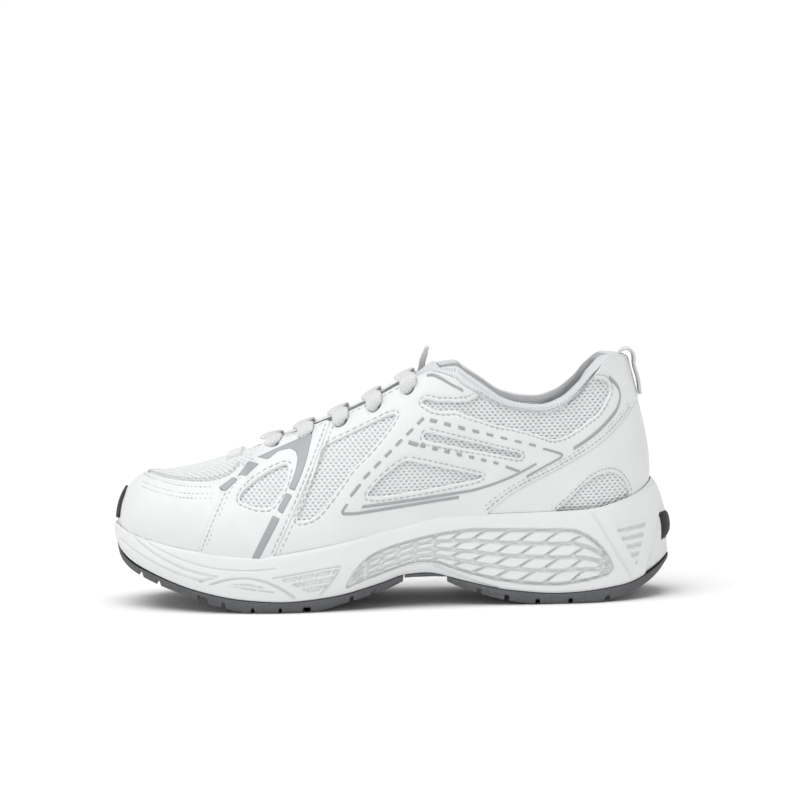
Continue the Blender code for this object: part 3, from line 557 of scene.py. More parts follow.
def thread(name, colour, rough=0.6):
    """Twisted sewing thread."""
    mat, tree, shader = node_material(name)
    at = place_vector(tree)
    twist = ramp(tree, noise(tree, at, 700, 2), [(0.3, [c * 0.85 for c in colour]), (0.7, colour)])
    link(tree, twist, shader.inputs["Base Color"])
    link(tree, spread(tree, noise(tree, at, 500, 2), rough - 0.1, rough + 0.15), shader.inputs["Roughness"])
    bump(tree, shader, noise(tree, at, 3500, 2), 0.4, 0.0002)
    return mat


WHITE = (0.76, 0.77, 0.775)
M_COATED = coated("coated_white", WHITE)
M_COATED_PRINT = coated("reflective_print", (0.37, 0.385, 0.395), 0.38, 0.6)
M_FOAM = foam("midsole_foam", (0.76, 0.77, 0.775))
M_RUBBER = rubber("outsole_rubber", (0.085, 0.088, 0.093))
M_BLACK = rubber("insert_rubber", (0.012, 0.012, 0.013), 0.62)
M_TOE = rubber("toe_rubber", (0.02, 0.02, 0.022), 0.7)
# The arch plastic is coloured near black as painted shade of the cavity under the arch.
M_SHANK = rubber("arch_plastic", (0.09, 0.093, 0.1), 0.5)
M_MESH = textile("open_mesh", (0.78, 0.795, 0.80), (0.44, 0.455, 0.47), (2.6, 1.5))
# The lining is a light grey cloth, coloured darker here as painted shade inside the shoe.
M_LINING = textile("spacer_lining", (0.44, 0.45, 0.465), (0.24, 0.245, 0.255), (1.3, 1.0), 0.9, 0.8)
M_COLLAR = textile("collar_cloth", (0.72, 0.73, 0.74), (0.50, 0.505, 0.515), (1.3, 1.0), 0.9, 0.7)
M_TONGUE = textile("tongue_cloth", (0.72, 0.73, 0.74), (0.45, 0.46, 0.48), (1.2, 0.9), 0.85, 0.5)
M_LACE = textile("lace_weave", (0.80, 0.805, 0.81), (0.62, 0.625, 0.635), (1.1, 0.8), 0.85, 0.8, "lace_uv")
M_WEBBING = textile("webbing", (0.76, 0.77, 0.775), (0.50, 0.51, 0.52), (1.0, 0.8), 0.85, 0.6, "lace_uv")
# The grey of the thread is partly painted shade, standing in for the shadow in the gaps along the stitch rows.
M_THREAD = thread("grey_thread", (0.50, 0.505, 0.51))
M_TIP = coated("lace_sleeve", (0.72, 0.73, 0.74), 0.25, 0.3)
M_INSOLE = textile("insole_cloth", (0.42, 0.43, 0.45), (0.22, 0.23, 0.24), (1.3, 1.0), 0.95, 0.5)

# ---------------------------------------------------------------- pattern, side view (x, z)
def arcs(corners, closed=True, step=4.0):
    """An outline of corners (x, z, bow): the side from each one bows to its own left by bow mm."""
    out = []
    for k in range(len(corners) if closed else len(corners) - 1):
        x, z, bow = corners[k]
        dx, dz = corners[(k + 1) % len(corners)][0] - x, corners[(k + 1) % len(corners)][1] - z
        length = math.hypot(dx, dz)
        for f in np.linspace(0, 1, max(int(length / step), 2) + 1)[:-1]:
            lift = 4 * bow * f * (1 - f) / length
            out.append((x + dx * f - dz * lift, z + dz * f + dx * lift))
    return out if closed else out + [corners[-1][:2]]


def dashed(start, end, count, share):
    """Dashes along a straight line, each with its share of the pitch filled."""
    p, run = np.array(start), np.subtract(end, start) / (count - 1 + share)
    return [(p + run * k, p + run * (k + share)) for k in range(count)]


# Seams from the sole upwards, and windows, in mm in the side view
SEAM_TOE = arcs([(-93, 26, 0.3), (-80.5, 58.5, -0.4), (-68.5, 71.5, 0)], False)
SADDLE_REAR = arcs([(-56, 26.5, -1), (-30, 89.5, 0)], False)
COVER_SEAM = arcs([(45.5, 44, 1), (65, 58, -0.4), (94, 73, -1.6), (115.5, 93.5, 0)], False)
WINDOW_1 = arcs([(-50, 68, 2), (-58, 49.5, 1), (-73, 52.5, 0.3), (-72, 56, 1.5), (-51.5, 69, 0)])
WINDOW_2 = arcs([(-45.5, 43.5, -0.9), (-34, 77, 0), (-3.5, 91, 0), (1, 92, 0), (0.5, 90, 1.2), (-20, 67, 0.7), (-36, 45.5, 0.8)])
WINDOW_3 = arcs([(6, 70.5, 0), (43.5, 62, 0), (39, 60.5, 0.5), (-6, 54, 0), (-12.5, 54.5, 1.4)])
SLOT = arcs([(14.5, 83.5, 0), (60.5, 72.5, 0.8), (60.5, 70, 0), (15.5, 79.5, 1)])
HEEL_WINDOW = arcs([(77, 43, 0), (94, 59, 6.5), (114, 52, 0), (113, 45, 0), (95, 42, 0), (78, 41, 0)])
HORSESHOE = arcs([(102, 106.5, 3.5), (106, 91, 1.4), (85.5, 74, 0)], False)

# Reflective print
GREY_V = arcs([(-65, 71.5, 0), (-53, 76.5, 0), (-39, 82.5, 1.2), (-46.5, 57, 0), (-49.5, 58, -0.8), (-45.5, 71.5, -1.2),
               (-49.5, 75.5, -1.2), (-60, 70.5, 0)])
DASH_QUADS = [[(-74, 63.5), (-69, 69.5), (-64, 68.5), (-70, 63)], [(-83, 58), (-76.5, 62.5), (-74, 61.5), (-80, 56.5)],
              [(-50.5, 56), (-47.5, 55), (-52, 46.5), (-54.5, 48.5)], [(-56.5, 46), (-53, 44.5), (-62.5, 26), (-66, 26.5)]]
DASHES = (dashed((14, 90), (-14, 62.5), 6, 0.58) + [((-15.5, 60), (-20, 54.5))] + dashed((17, 89), (67.5, 76), 8, 0.48)
          + [((7, 79), (11.5, 77.5))] + dashed((12.5, 77.5), (50, 68), 7, 0.42) + [((53.5, 66.5), (60, 64))])
PRINT_LINES = [arcs([(-21.5, 51, 0), (-24.5, 46.5, 0), (-17, 46.5, 0), (31.5, 52.5, 0)], False),
               arcs([(-14.5, 49.5, -0.3), (37.5, 55.5, -1.3), (68, 67.5, 0)], False),
               arcs([(71, 74.5, 0.3), (81.5, 71, 0), (63.5, 61.5, 0)], False),
               arcs([(15.5, 109.5, 0), (18.5, 110, 0), (32.5, 102.5, 0)], False)]
TOE_ROWS = [arcs([(-121.5, z, -1.8), (-84.5, z - 4.2, 0)], False) for z in (63, 60, 58)]

# On the skin, (a, v): the edge of the toe's mesh, the collar's mesh window, and the collar cloth's lower edge
TOE_BOX_AV = [tuple(p) for p in smooth([(0.328, 0.745), (0.312, 0.66), (0.28, 0.628), (0.23, 0.68), (0.135, 0.79),
                                        (0.06, 0.818), (0.0, 0.822)], 3)]
WINDOW_TOP = [(0.632, 0.955), (0.667, 0.95), (0.70, 0.93), (0.75, 0.895), (0.772, 0.907)]
WINDOW_LOW = [tuple(p) for p in smooth([(0.783, 0.935), (0.815, 0.82), (0.822, 0.74), (0.797, 0.66), (0.77, 0.647), (0.718, 0.66), (0.70, 0.71),
                                        (0.655, 0.775), (0.60, 0.73), (0.555, 0.695), (0.531, 0.785)], 3)]
WINDOW_FRONT = [(0.535, 0.8), (0.55, 0.757), (0.575, 0.755), (0.593, 0.83), (0.606, 0.92)]
WINDOW_EDGE = WINDOW_LOW + WINDOW_FRONT
COLLAR_WINDOW = WINDOW_EDGE + WINDOW_TOP
COLLAR_BAND = [(0.542, 1.0), (0.556, 0.95), (0.58, 0.903), (0.608, 0.92), (0.635, 0.957), (0.667, 0.972), (0.726, 0.931),
               (0.76, 0.985), (0.80, 1.0)]


def on_skin(points, times=2, closed=True, dense=2.0):
    """A side-view line put on the skin, its corners softened first."""
    pts = soften(points, times, closed) if times else np.array(points, float)
    pts = resample(pts, dense, closed)
    return place(pts)


# ---------------------------------------------------------------- overlays
def feather_run(a0, a1, v=-0.03, step=0.01):
    n = max(int(abs(a1 - a0) / step), 2)
    return [(a0 + (a1 - a0) * k / n, v) for k in range(n + 1)]


def clean(outline, gap=0.0008):
    out = [outline[0]]
    for p in outline[1:]:
        if math.hypot((p[0] - out[-1][0]), (p[1] - out[-1][1]) * 0.17) > gap:
            out.append(p)
    return out


stitches = Build()


def stitch_line(line, d=2.5, length=2.1, pitch=2.9, radius=0.3, rise=0):
    """Sewn stitches along a line in (a, v): short rounded bars lying in the surface."""
    pts = resample(np.array(line, float) * SCALE, 0.5, closed=False)
    s = np.concatenate([[0], np.cumsum(np.linalg.norm(np.diff(pts, axis=0), axis=1))])
    q = 0.5
    while q + length < s[-1]:
        ends = [[np.interp(u, s, pts[:, k]) for k in (0, 1)] for u in (q, q + length / 2, q + length)]
        av = np.array(ends) / SCALE
        p, n = skin(av[:, 0], av[:, 1], np.array([d - 0.12, d + 0.06, d - 0.12]) + rise * rear_rise(av))
        run = p[2] - p[0]
        run /= np.linalg.norm(run)
        side = np.cross(n[1], run)
        ring, faces = [], []
        for base, up, w in ((p[0], n[0], 0.45), (p[0] * 0.75 + p[1] * 0.25, n[0], 0.95), (p[1], n[1], 1.0),
                            (p[2] * 0.75 + p[1] * 0.25, n[2], 0.95), (p[2], n[2], 0.45)):
            for k in range(5):
                f = math.pi * k / 4
                ring.append(base + side * math.cos(f) * radius * w + up * math.sin(f) * radius * 0.9 * w)
        for i in range(4):
            for k in range(4):
                b = i * 5 + k
                faces.append([b, b + 1, b + 6, b + 5])
        stitches.add(ring, faces)
        q += pitch


def shifted(line, by):
    """A line in (a, v) moved sideways by some mm."""
    pts = resample(np.array(line, float) * SCALE, 1.5, closed=False)
    t = np.gradient(pts, axis=0)
    n = np.stack([-t[:, 1], t[:, 0]], 1)
    n /= np.linalg.norm(n, axis=1, keepdims=True)
    return (pts + n * by) / SCALE


seam_toe, saddle_rear, cover_seam, horseshoe = (
    on_skin(line, 1, False) for line in (SEAM_TOE, SADDLE_REAR, COVER_SEAM, HORSESHOE))
w1, w2, w3, slot, wh = (on_skin(w, 2, True, 1.5) for w in (WINDOW_1, WINDOW_2, WINDOW_3, SLOT, HEEL_WINDOW))
LOW, HIGH = 2.3, 2.85        # tops of the panels that run under a seam, and of those that lie over it


def ripple(av):
    """A slow unevenness of the sewn skin, in mm."""
    a, v = np.asarray(av)[:, 0] * 390, np.asarray(av)[:, 1] * 66
    return 0.09 * np.sin(a * 0.19 + 1.7 * np.sin(v * 0.11)) * np.sin(v * 0.23 + 0.6) + 0.05 * np.sin(a * 0.47 + v * 0.31)


def sewn(av, near):
    return ripple(av) + 0.2 * (1 - np.exp(-near / 2.0)) - 0.22 * np.exp(-((near - 1.7) / 0.45) ** 2)


def rear_rise(av):
    """The eyestay saddle starts low, under the front saddle, and ends high, over the heel cover."""
    f = np.clip((np.abs(np.asarray(av)[..., 0]) - 0.43) / 0.09, 0, 1)
    return (HIGH - LOW) * f * f * (3 - 2 * f)


def rising(av, near):
    return sewn(av, near) + rear_rise(av)


SEWN_ROWS = (0.22, 0.55, 1.2, 1.7, 2.2)


def sided(points, sign):
    return [(sign * a, v) for a, v in points]


def strip_outline(line, width):
    """The outline, in (a, v), of a band along a line in (a, v)."""
    pts = resample(np.array(line, float) * SCALE, 1.0, closed=False)
    t = np.gradient(pts, axis=0)
    n = np.stack([-t[:, 1], t[:, 0]], 1)
    n /= np.linalg.norm(n, axis=1, keepdims=True)
    return np.vstack([pts + n * width / 2, (pts - n * width / 2)[::-1]]) / SCALE


def film(build, outline, d, sign=1, rise=None):
    """A thin printed strip lying on an overlay."""
    overlay(build, sided(outline, sign), top=d, foot=d - 0.3, step=0.6, edge=0.02, rows=(),
            relief=lambda av, near: ripple(av) + (rise(av) if rise else 0))


def offset_loop(loop, by):
    """A closed line in (a, v) moved outward by some mm, or inward if by is negative."""
    pts = resample(np.array(loop, float) * SCALE, 1.2, closed=True)
    t = np.roll(pts, -1, 0) - np.roll(pts, 1, 0)
    n = np.stack([t[:, 1], -t[:, 0]], 1)
    n /= np.linalg.norm(n, axis=1, keepdims=True)
    area = (pts[:, 0] * np.roll(pts[:, 1], -1) - np.roll(pts[:, 0], -1) * pts[:, 1]).sum()
    return np.vstack([pts + n * by * np.sign(area), pts[:1] + n[:1] * by * np.sign(area)]) / SCALE


def quad_faces(rows, cols, keep=None):
    """Quads of a grid of rows x cols points, numbered row by row."""
    i, j = np.meshgrid(np.arange(rows - 1), np.arange(cols - 1), indexing="ij")
    q = i * cols + j
    faces = np.stack([q, q + 1, q + cols + 1, q + cols], -1).reshape(-1, 4)
    if keep is not None:
        faces = faces[keep[faces].all(1)]
    return faces


PORE = (2.6, 1.5)


def pore_depth(u, w):
    row = w / PORE[1]
    col = u / PORE[0] + 0.5 * (np.floor(row) % 2)
    fx, fy = (col % 1) - 0.5, (row % 1) - 0.5
    r = np.hypot(fx * PORE[0] / 0.86, fy * PORE[1] / 0.52)
    yarn = 0.07 * np.cos(2 * math.pi * fx) + 0.05 * np.cos(2 * math.pi * fy)
    return np.where(r < 1, 0.62 * np.sqrt(np.clip(1 - r * r, 0, 1)), 0) + yarn


def pore_sheet(build, outline, plan_coords=False, step=0.42, margin=1.8, d=1.25):
    """Open mesh filling a window, its pores pressed in."""
    loop = np.array(outline, float) * SCALE
    lo, hi = loop.min(0) - margin, np.minimum(loop.max(0) + margin, [1e9, SCALE[1]])
    us = np.arange(lo[0], hi[0] + step, step)
    vs = hi[1] - np.arange(0, hi[1] - lo[1] + step, step)
    gu, gv = np.meshgrid(us, vs, indexing="ij")
    flat = np.stack([gu.ravel(), gv.ravel()], 1)
    keep = inside(flat, loop)
    near = distance(flat[~keep], [loop])
    keep[np.flatnonzero(~keep)[near < margin]] = True
    p, n = skin(flat[:, 0] / SCALE[0], flat[:, 1] / SCALE[1], d)
    u, w = (p[:, 0], p[:, 1]) if plan_coords else (p[:, 0], p[:, 2])
    p = p - n * pore_depth(u, w)[:, None]
    faces = quad_faces(len(us), len(vs), keep)
    used = np.unique(faces)
    back = np.zeros(len(p), int)
    back[used] = np.arange(len(used))
    uv = np.stack([u, w, u * 0], 1)
    build.add(p[used], back[faces], skin_uv=uv[used])


def base_skin(build, a0, a1, d=0.5, v0=-0.03, v1=1.0):
    us, vs = np.linspace(min(a0, a1), max(a0, a1), int(abs(a1 - a0) / 0.006) + 2), np.linspace(v1, v0, 44)
    gu, gv = np.meshgrid(us, vs, indexing="ij")
    p, _ = skin(gu.ravel(), gv.ravel(), d)
    uv = np.stack([p[:, 0], p[:, 2], p[:, 0] * 0], 1)
    build.add(p, quad_faces(len(us), len(vs)), skin_uv=uv)


EYELETS_X = (-57.0, -41.5, -25.0, -9.0, 7.0)


def last_point(t, v, side):
    return skin([t if side < 0 else -t], [v], 0.0)[0][0]


def throat_frame(x, side):
    """The throat's edge at x, an eyelet's centre beside it, the outward and forward directions, and its (a, v)."""
    knots = np.linspace(0.15, 0.85, 2800)
    t = float(knots[np.argmin(np.abs(F["top_x"](knots) - x))])
    edge = last_point(t, 1.0, side)
    v = 1.0
    while np.linalg.norm(last_point(t, v, side) - edge) < 5.6:
        v -= 0.004
    hole = last_point(t, v, side)
    ahead = last_point(t - 0.01, v, side) - last_point(t + 0.01, v, side)
    up = last_point(t, v + 0.03, side) - last_point(t, v - 0.03, side)
    out = np.cross(ahead, up)
    out /= np.linalg.norm(out)
    if out[2] < 0:
        out = -out
    return edge, hole, out, ahead / np.linalg.norm(ahead), (t, v)


eyelets = [throat_frame(x, -1)[4] for x in EYELETS_X]


def eyelet_loops(which):
    return [[(eyelets[k][0] + 2.1 / 330 * math.cos(f), eyelets[k][1] + 2.1 / 50 * math.sin(f))
             for f in np.linspace(0, math.tau, 15)[:-1]] for k in which]


# Toe cap: wraps the toe, and runs under the saddles behind it
UNDER = 2.0 / SCALE[0]
cap = Build()
low_seam = [(a + UNDER, v) for a, v in seam_toe if 0 < v < 0.6]
cap_line = (feather_run(-low_seam[0][0], low_seam[0][0]) + low_seam + [(TOE_BOX_AV[0][0] + UNDER * 0.6, 0.70)] + TOE_BOX_AV
            + mirror(TOE_BOX_AV)[1:] + [(-TOE_BOX_AV[0][0] - UNDER * 0.6, 0.70)] + mirror(low_seam))
overlay(cap, clean(cap_line), top=LOW, step=1.3, relief=sewn, rows=SEWN_ROWS)
toe_cap = cap.make("toe_cap", M_COATED)
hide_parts("toe_cap")

prints = Build()
rear_low = [(a, v) for a, v in saddle_rear if 0 < v < 0.96]
rim_start = saddle_rear[-1][0]
tall = [q for q in seam_toe if q[1] > 0]
for word, sign in (("lateral", 1), ("medial", -1)):
    # front saddle, over the toe cap and over the eyestay saddle
    saddle = Build()
    line = (feather_run(tall[0][0], rear_low[0][0]) + rear_low + [(rim_start - 0.003, 0.975)]
            + [(a, 0.994) for a in np.linspace(rim_start - 0.006, 0.352, 12)] + tall[::-1])
    holes = [sided(hole, sign) for hole in [w1, *eyelet_loops((0, 1))]]
    overlay(saddle, sided(clean(line), sign), holes, top=HIGH, foot=1.0, step=1.2, relief=sewn, rows=SEWN_ROWS)
    ob = saddle.make("front_saddle_" + word, M_COATED)
    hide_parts("front_saddle_" + word)
    # eyestay saddle: from under the front saddle to the middle of the heel, open at the top for the collar
    saddle = Build()
    line = (feather_run(rear_low[0][0] - UNDER, cover_seam[0][0]) + cover_seam + [(1.0, 0.66), (1.0, 0.8), (1.0, 0.9)]
            + [(a, 0.994) for a in np.linspace(1.0, 0.803, 18)] + [(0.7831, 0.96)] + WINDOW_EDGE
            + COLLAR_BAND[3:0:-1] + [(a, 0.994) for a in np.linspace(0.541, rim_start + 0.004, 32)]
            + [(a - UNDER, v) for a, v in rear_low[::-1]])
    holes = [sided(hole, sign) for hole in [w2, w3, slot, *eyelet_loops((2, 3, 4))]]
    overlay(saddle, sided(clean(line), sign), holes, top=LOW, step=1.2, relief=rising, rows=SEWN_ROWS)
    ob = saddle.make("eyestay_saddle_" + word, M_COATED)
    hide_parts("eyestay_saddle_" + word)
    # base cloth and mesh windows
    cloth = Build()
    base_skin(cloth, sign * 0.43, sign * 1.0)
    for w in (w2, w3, slot, wh, COLLAR_WINDOW):
        pore_sheet(cloth, sided(w, sign))
    ob = cloth.make("quarter_mesh_" + word, M_MESH)
    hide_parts("quarter_mesh_" + word)
    for quad in [GREY_V] + DASH_QUADS:
        film(prints, on_skin(quad, 0, True, 1.2), HIGH + 0.34, sign)
    for p, q in DASHES:
        film(prints, strip_outline(place([p, q]), 1.5), LOW + 0.38, sign, rear_rise)
    for path in PRINT_LINES:
        film(prints, strip_outline(on_skin(path, 1, False, 2.0), 1.25), LOW + 0.38, sign, rear_rise)

vamp = Build()
base_skin(vamp, -0.4305, 0.4305)
toe_mesh = TOE_BOX_AV + [(0.0, 1.0), (0.352, 1.0), (0.345, 0.87)]
pore_sheet(vamp, toe_mesh, plan_coords=True)
pore_sheet(vamp, mirror(toe_mesh), plan_coords=True)
for sign in (1, -1):
    pore_sheet(vamp, sided(w1, sign))
vamp_mesh = vamp.make("vamp_mesh", M_MESH)
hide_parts("vamp_mesh")

# Heel cover, its upper edge under the saddles
cover = Build()
upper_edge = [(a, v + 0.03) for a, v in cover_seam if a < 0.97]
heel_line = (feather_run(cover_seam[0][0], 2 - cover_seam[0][0]) + [(2 - a, v) for a, v in upper_edge] + [(1.0, 0.68)]
             + upper_edge[::-1])
overlay(cover, clean(heel_line), [wh, mirror(wh, 1.0)], top=LOW, step=1.3, relief=sewn, rows=SEWN_ROWS)
heel_cover = cover.make("heel_cover", M_COATED)
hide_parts("heel_cover")

for word, sign in (("lateral", 1), ("medial", -1)):
    strip = Build()
    overlay(strip, sided(strip_outline(horseshoe, 1.9), sign), top=HIGH + 0.4, foot=HIGH - 0.1, step=0.6, edge=0.1,
            relief=lambda av, near: ripple(av), rows=())
    ob = strip.make("collar_strip_" + word, M_COATED_PRINT)
    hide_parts("collar_strip_" + word)
prints.make("reflective_print", M_COATED_PRINT)

# Throat stay: the bar across the front of the throat
def stay_sheet(across=56, lengthwise=16):
    """One piece over the ridge: a grid across both sides, rounded down to the mesh at its border."""
    gu, gs = np.meshgrid(np.linspace(-1, 1, across + 1), np.linspace(0, 1, lengthwise + 1), indexing="ij")
    v = 1 - 0.14 * np.abs(gu)
    a = 0.300 + 0.0245 * gs
    lat_p, _ = skin(a, v, 0.0)
    _, n_lat = skin(a, np.minimum(v, 0.985), 0.0)
    med_p, _ = skin(-a, v, 0.0)
    _, n_med = skin(-a, np.minimum(v, 0.985), 0.0)
    side = np.clip(gu / 0.25, -1, 1)[..., None] * 0.5 + 0.5
    n = n_lat * (1 - side) + n_med * side
    n /= np.linalg.norm(n, axis=-1, keepdims=True)
    rim = np.minimum(np.minimum(gs, 1 - gs) * 8.5, (1 - np.abs(gu)) * 9.5)
    ease = np.clip(rim / 0.7, 0, 1)
    d = 2.0 + 1.1 * np.sqrt(np.clip(1 - (1 - ease) ** 2, 0, 1)) - 1.2 * (rim < 1e-6)
    p = np.where((gu < 0)[..., None], lat_p, med_p) + n * d[..., None]
    return p.reshape(-1, 3), quad_faces(across + 1, lengthwise + 1)


ob = new_object("throat_stay", *stay_sheet(), M_COATED)
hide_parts("throat_stay")

# Toe bumper
vs = np.linspace(0, 0.8, 200)
tip = skin(vs * 0, vs, 2.0)[0][:, 2]
v_low, v_high = np.interp([42.0, 57.0], tip, vs)
bumper = Build()
bumper_line = [(0.045, v_low + 0.02), (0.0, v_low), (-0.045, v_low + 0.02), (-0.055, v_low + 0.09), (-0.04, v_high - 0.05),
               (0.0, v_high), (0.04, v_high - 0.05), (0.055, v_low + 0.09)]
overlay(bumper, soften(bumper_line, 2), top=3.6, foot=2.3, step=1.0, edge=0.5, rows=(0.2, 0.45))
ob = bumper.make("toe_bumper", M_TOE)
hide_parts("toe_bumper")

# ---------------------------------------------------------------- stitching
throat_edge = [(a, 0.962) for a in np.linspace(0.36, 0.535, 50)]
for sign in (1, -1):
    def sew(line, d, by=0.0, rise=0.0):
        path = [p for p in (shifted(line, by) if by else line) if p[1] > 0.03]
        stitch_line(sided(path, sign), d, rise=rise)
    for by in (-1.7, -3.6):
        sew(tall, HIGH, by)
    for row in [on_skin(r, 1, False) for r in TOE_ROWS] + [shifted(TOE_BOX_AV, -1.7)]:
        sew(row, LOW + 0.06)
    sew(rear_low, HIGH, 1.7)
    sew(rear_low, LOW + 0.1, -1.9)
    sew(offset_loop(w1, 1.7), HIGH)
    for w in (w2, w3, slot, WINDOW_EDGE):
        sew(offset_loop(w, 1.7), LOW, 0, 1)
    sew(offset_loop(wh, 1.7), LOW)
    for by in (1.8, 3.7):
        sew(cover_seam[:-2], HIGH, by)
    sew(throat_edge[:18], HIGH)
    sew(throat_edge[18:], LOW, 0, 1)
stitches.make("stitching", M_THREAD)

# ---------------------------------------------------------------- collar
def run_length(points):
    """The distance from a line's start to each of its points."""
    return np.concatenate([[0], np.cumsum(np.linalg.norm(np.diff(points, axis=0), axis=1))])


def swept(name, mat, a_values, section, body=MAIN):
    """A surface from a cross-section swept along a. A section gives (v, d, up) rows at each a."""
    rows = [section(a) for a in a_values]
    m = len(rows[0])
    a = np.repeat(a_values, m)
    v, d, up = np.array(rows, float).reshape(-1, 3).T
    p, n = skin(a, np.clip(v, -0.03, 1.0), d)
    p[:, 2] += up
    length = run_length(np.array(rows, float)[len(rows) // 2] * [SCALE[1], 1, 1])
    run = run_length(p.reshape(len(rows), m, 3)[:, m // 2])
    uv = np.stack([np.repeat(run, m), np.tile(length, len(rows)), a * 0], 1)
    return new_object(name, p, quad_faces(len(rows), m)[:, ::-1], mat, body, {"skin_uv": uv})


band_a, band_v = np.array(COLLAR_BAND).T
START = 0.538
collar_a = np.linspace(START, 2 - START, 440)


def band_at(a):
    q = a if a <= 1 else 2 - a
    return min(float(np.interp(q, band_a, band_v)), 0.985)


def roll(a):
    """Over the rim: up the outside, across the top, and down the inside."""
    q = a if a <= 1 else 2 - a
    low = band_at(a)
    thick = float(np.clip((q - START) / 0.05, 0, 1)) ** 0.5
    puff = 0.25 * math.sin(a * 61) + 0.2 * math.sin(a * 113 + 1)
    keys = [(low - 0.015, 0.9, 0), (low, 1.9, 0), (low + (1 - low) * 0.4, 2.5, 0), (low + (1 - low) * 0.8, 2.5, 0),
            (1.0, 1.9, 0.5), (1.0, 0.2, 1.3), (1.0, -2.0, 1.7 + 0.3 * puff), (1.0, -4.6, 1.5), (1.0, -6.9, 0.5),
            (0.985, -8.2, 0), (0.95, -8.9 + puff, 0),
            (0.90, -9.2 + puff, 0), (0.84, -9.1, 0), (0.78, -8.6, 0), (0.70, -8.1, 0), (0.62, -7.9, 0)]
    keys = [(v, 1.2 + (d - 1.2) * (0.35 + 0.65 * thick) if d < 1.2 else d * (0.6 + 0.4 * thick), up * thick)
            for v, d, up in keys]
    return [tuple(k) for k in smooth(keys, 4)]


collar = swept("collar_padding", M_COLLAR, collar_a, roll)
collar.data.materials.append(M_LINING)
columns = len(roll(1.0)) - 1
for face in collar.data.polygons:
    face.material_index = int(face.index % columns > 27)      # past the top of the roll it is lining, coloured darker partly as painted shade inside the collar
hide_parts("collar_padding")


def lining_rows(a):
    q = a if a <= 1 else 2 - a
    ease = float(np.clip((q - 0.5) / 0.08, 0, 1))
    keys = [(0.68, -1.4 - 6.6 * ease, 0), (0.55, -1.4 - 6.4 * ease, 0), (0.4, -1.4 - 6.0 * ease, 0),
            (0.28, -1.2 - 5.0 * ease, 0), (0.17, -1.1 - 3.2 * ease, 0), (0.08, -1 - 1.6 * ease, 0), (0.02, -2, 0)]
    return [tuple(k) for k in smooth(keys, 4)]


lining = swept("collar_lining", M_LINING, np.linspace(0.45, 1.55, 420), lining_rows)
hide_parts("collar_lining")

# ---------------------------------------------------------------- tongue
TONGUE = [(-67, 68.6), (-60, 71.8), (-52, 75.8), (-37, 83.3), (-15, 93.6), (4, 104.8), (12, 111.0), (18.5, 116.2)]
TONGUE_HALF = [9, 12, 16, 21, 23.5, 23, 21.5, 17]


def tongue_sheet(depth_of, inset, across=48, n=10):
    path = np.array(smooth([(x, z, w) for (x, z), w in zip(TONGUE, TONGUE_HALF)], n))
    run = np.gradient(path[:, :2], axis=0)
    lean = np.arctan2(run[:, 1], run[:, 0])
    length = run_length(path[:, :2])
    out, uv = [], []
    for i, (x, z, half) in enumerate(path):
        for j in range(across + 1):
            f = 2 * j / across - 1
            y = (half - inset) * f
            rim = min((1 - abs(f)) * half, length[-1] - length[i])
            drop = depth_of(rim, length[i], y) + 0.019 * y * y
            out.append((x + drop * math.sin(lean[i]), y, z - drop * math.cos(lean[i])))
            uv.append((length[i], y, 0))
    return np.array(out), np.array(uv), len(path), across + 1


def rounded(rim, half=2.35):
    return half * (1 - math.sqrt(max(0.0, 1 - (1 - min(rim / half, 1)) ** 2)))


def quilted(rim, s, y):
    return rounded(rim) + 0.15 * math.sin(s * 0.21) * math.sin(y * 0.2)


upper, uv_a, rows_n, cols_n = tongue_sheet(quilted, 0.0)
lower, uv_b, _, _ = tongue_sheet(lambda rim, s, y: 4.4 - rounded(rim), 0.0)
pad = Build()
pad.add(np.vstack([upper, lower]), [list(f)[::-1] for f in quad_faces(rows_n, cols_n)]
        + [[q + len(upper) for q in f] for f in quad_faces(rows_n, cols_n)], skin_uv=np.vstack([uv_a, uv_b]))
tongue = pad.make("tongue_padding", M_TONGUE, TONGUE_BODY)
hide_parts("tongue_padding", "tongue_shell")
under, uv_c, _, _ = tongue_sheet(lambda rim, s, y: 5.1, 1.0)
under_sheet = new_object("tongue_lining", under, quad_faces(rows_n, cols_n), M_LINING, TONGUE_BODY, {"skin_uv": uv_c})
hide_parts("tongue_lining")

# ---------------------------------------------------------------- lace
def ribbon(name, stops, mat, n=10, crown=0.25, body=MAIN):
    path = smooth([np.concatenate([p, w, [a, b]]) for p, w, a, b in stops], n)
    profile = [(math.copysign(abs(math.cos(f)) ** 0.5, math.cos(f)),
                math.copysign(abs(math.sin(f)) ** 0.8, math.sin(f)))
               for f in np.linspace(0, math.tau, 21)[:-1]]
    points, uv, s = [], [], 0.0
    for i, row in enumerate(path):
        run = path[min(i + 1, len(path) - 1)][:3] - path[max(i - 1, 0)][:3]
        run /= np.linalg.norm(run)
        wide = row[3:6] - run * np.dot(row[3:6], run)
        wide /= np.linalg.norm(wide)
        thick = np.cross(run, wide)
        if i:
            s += np.linalg.norm(row[:3] - path[i - 1][:3])
        for u, v in profile:
            points.append(row[:3] + wide * u * row[6] + thick * v * row[7] * (1 + crown * (1 - u * u)))
            uv.append((s, u * row[6], 0))
    m = len(profile)
    faces = [list(range(m)), list(range(len(points) - m, len(points)))[::-1]]
    for i in range(len(path) - 1):
        faces += [[i * m + k, i * m + m + k, i * m + m + (k + 1) % m, i * m + (k + 1) % m] for k in range(m)]
    return new_object(name, points, faces, mat, body, {"lace_uv": uv})


LACE_W, LACE_T, LACE_UNDER, LACE_LEAD = 8.4, 1.6, 2.5, 4.0


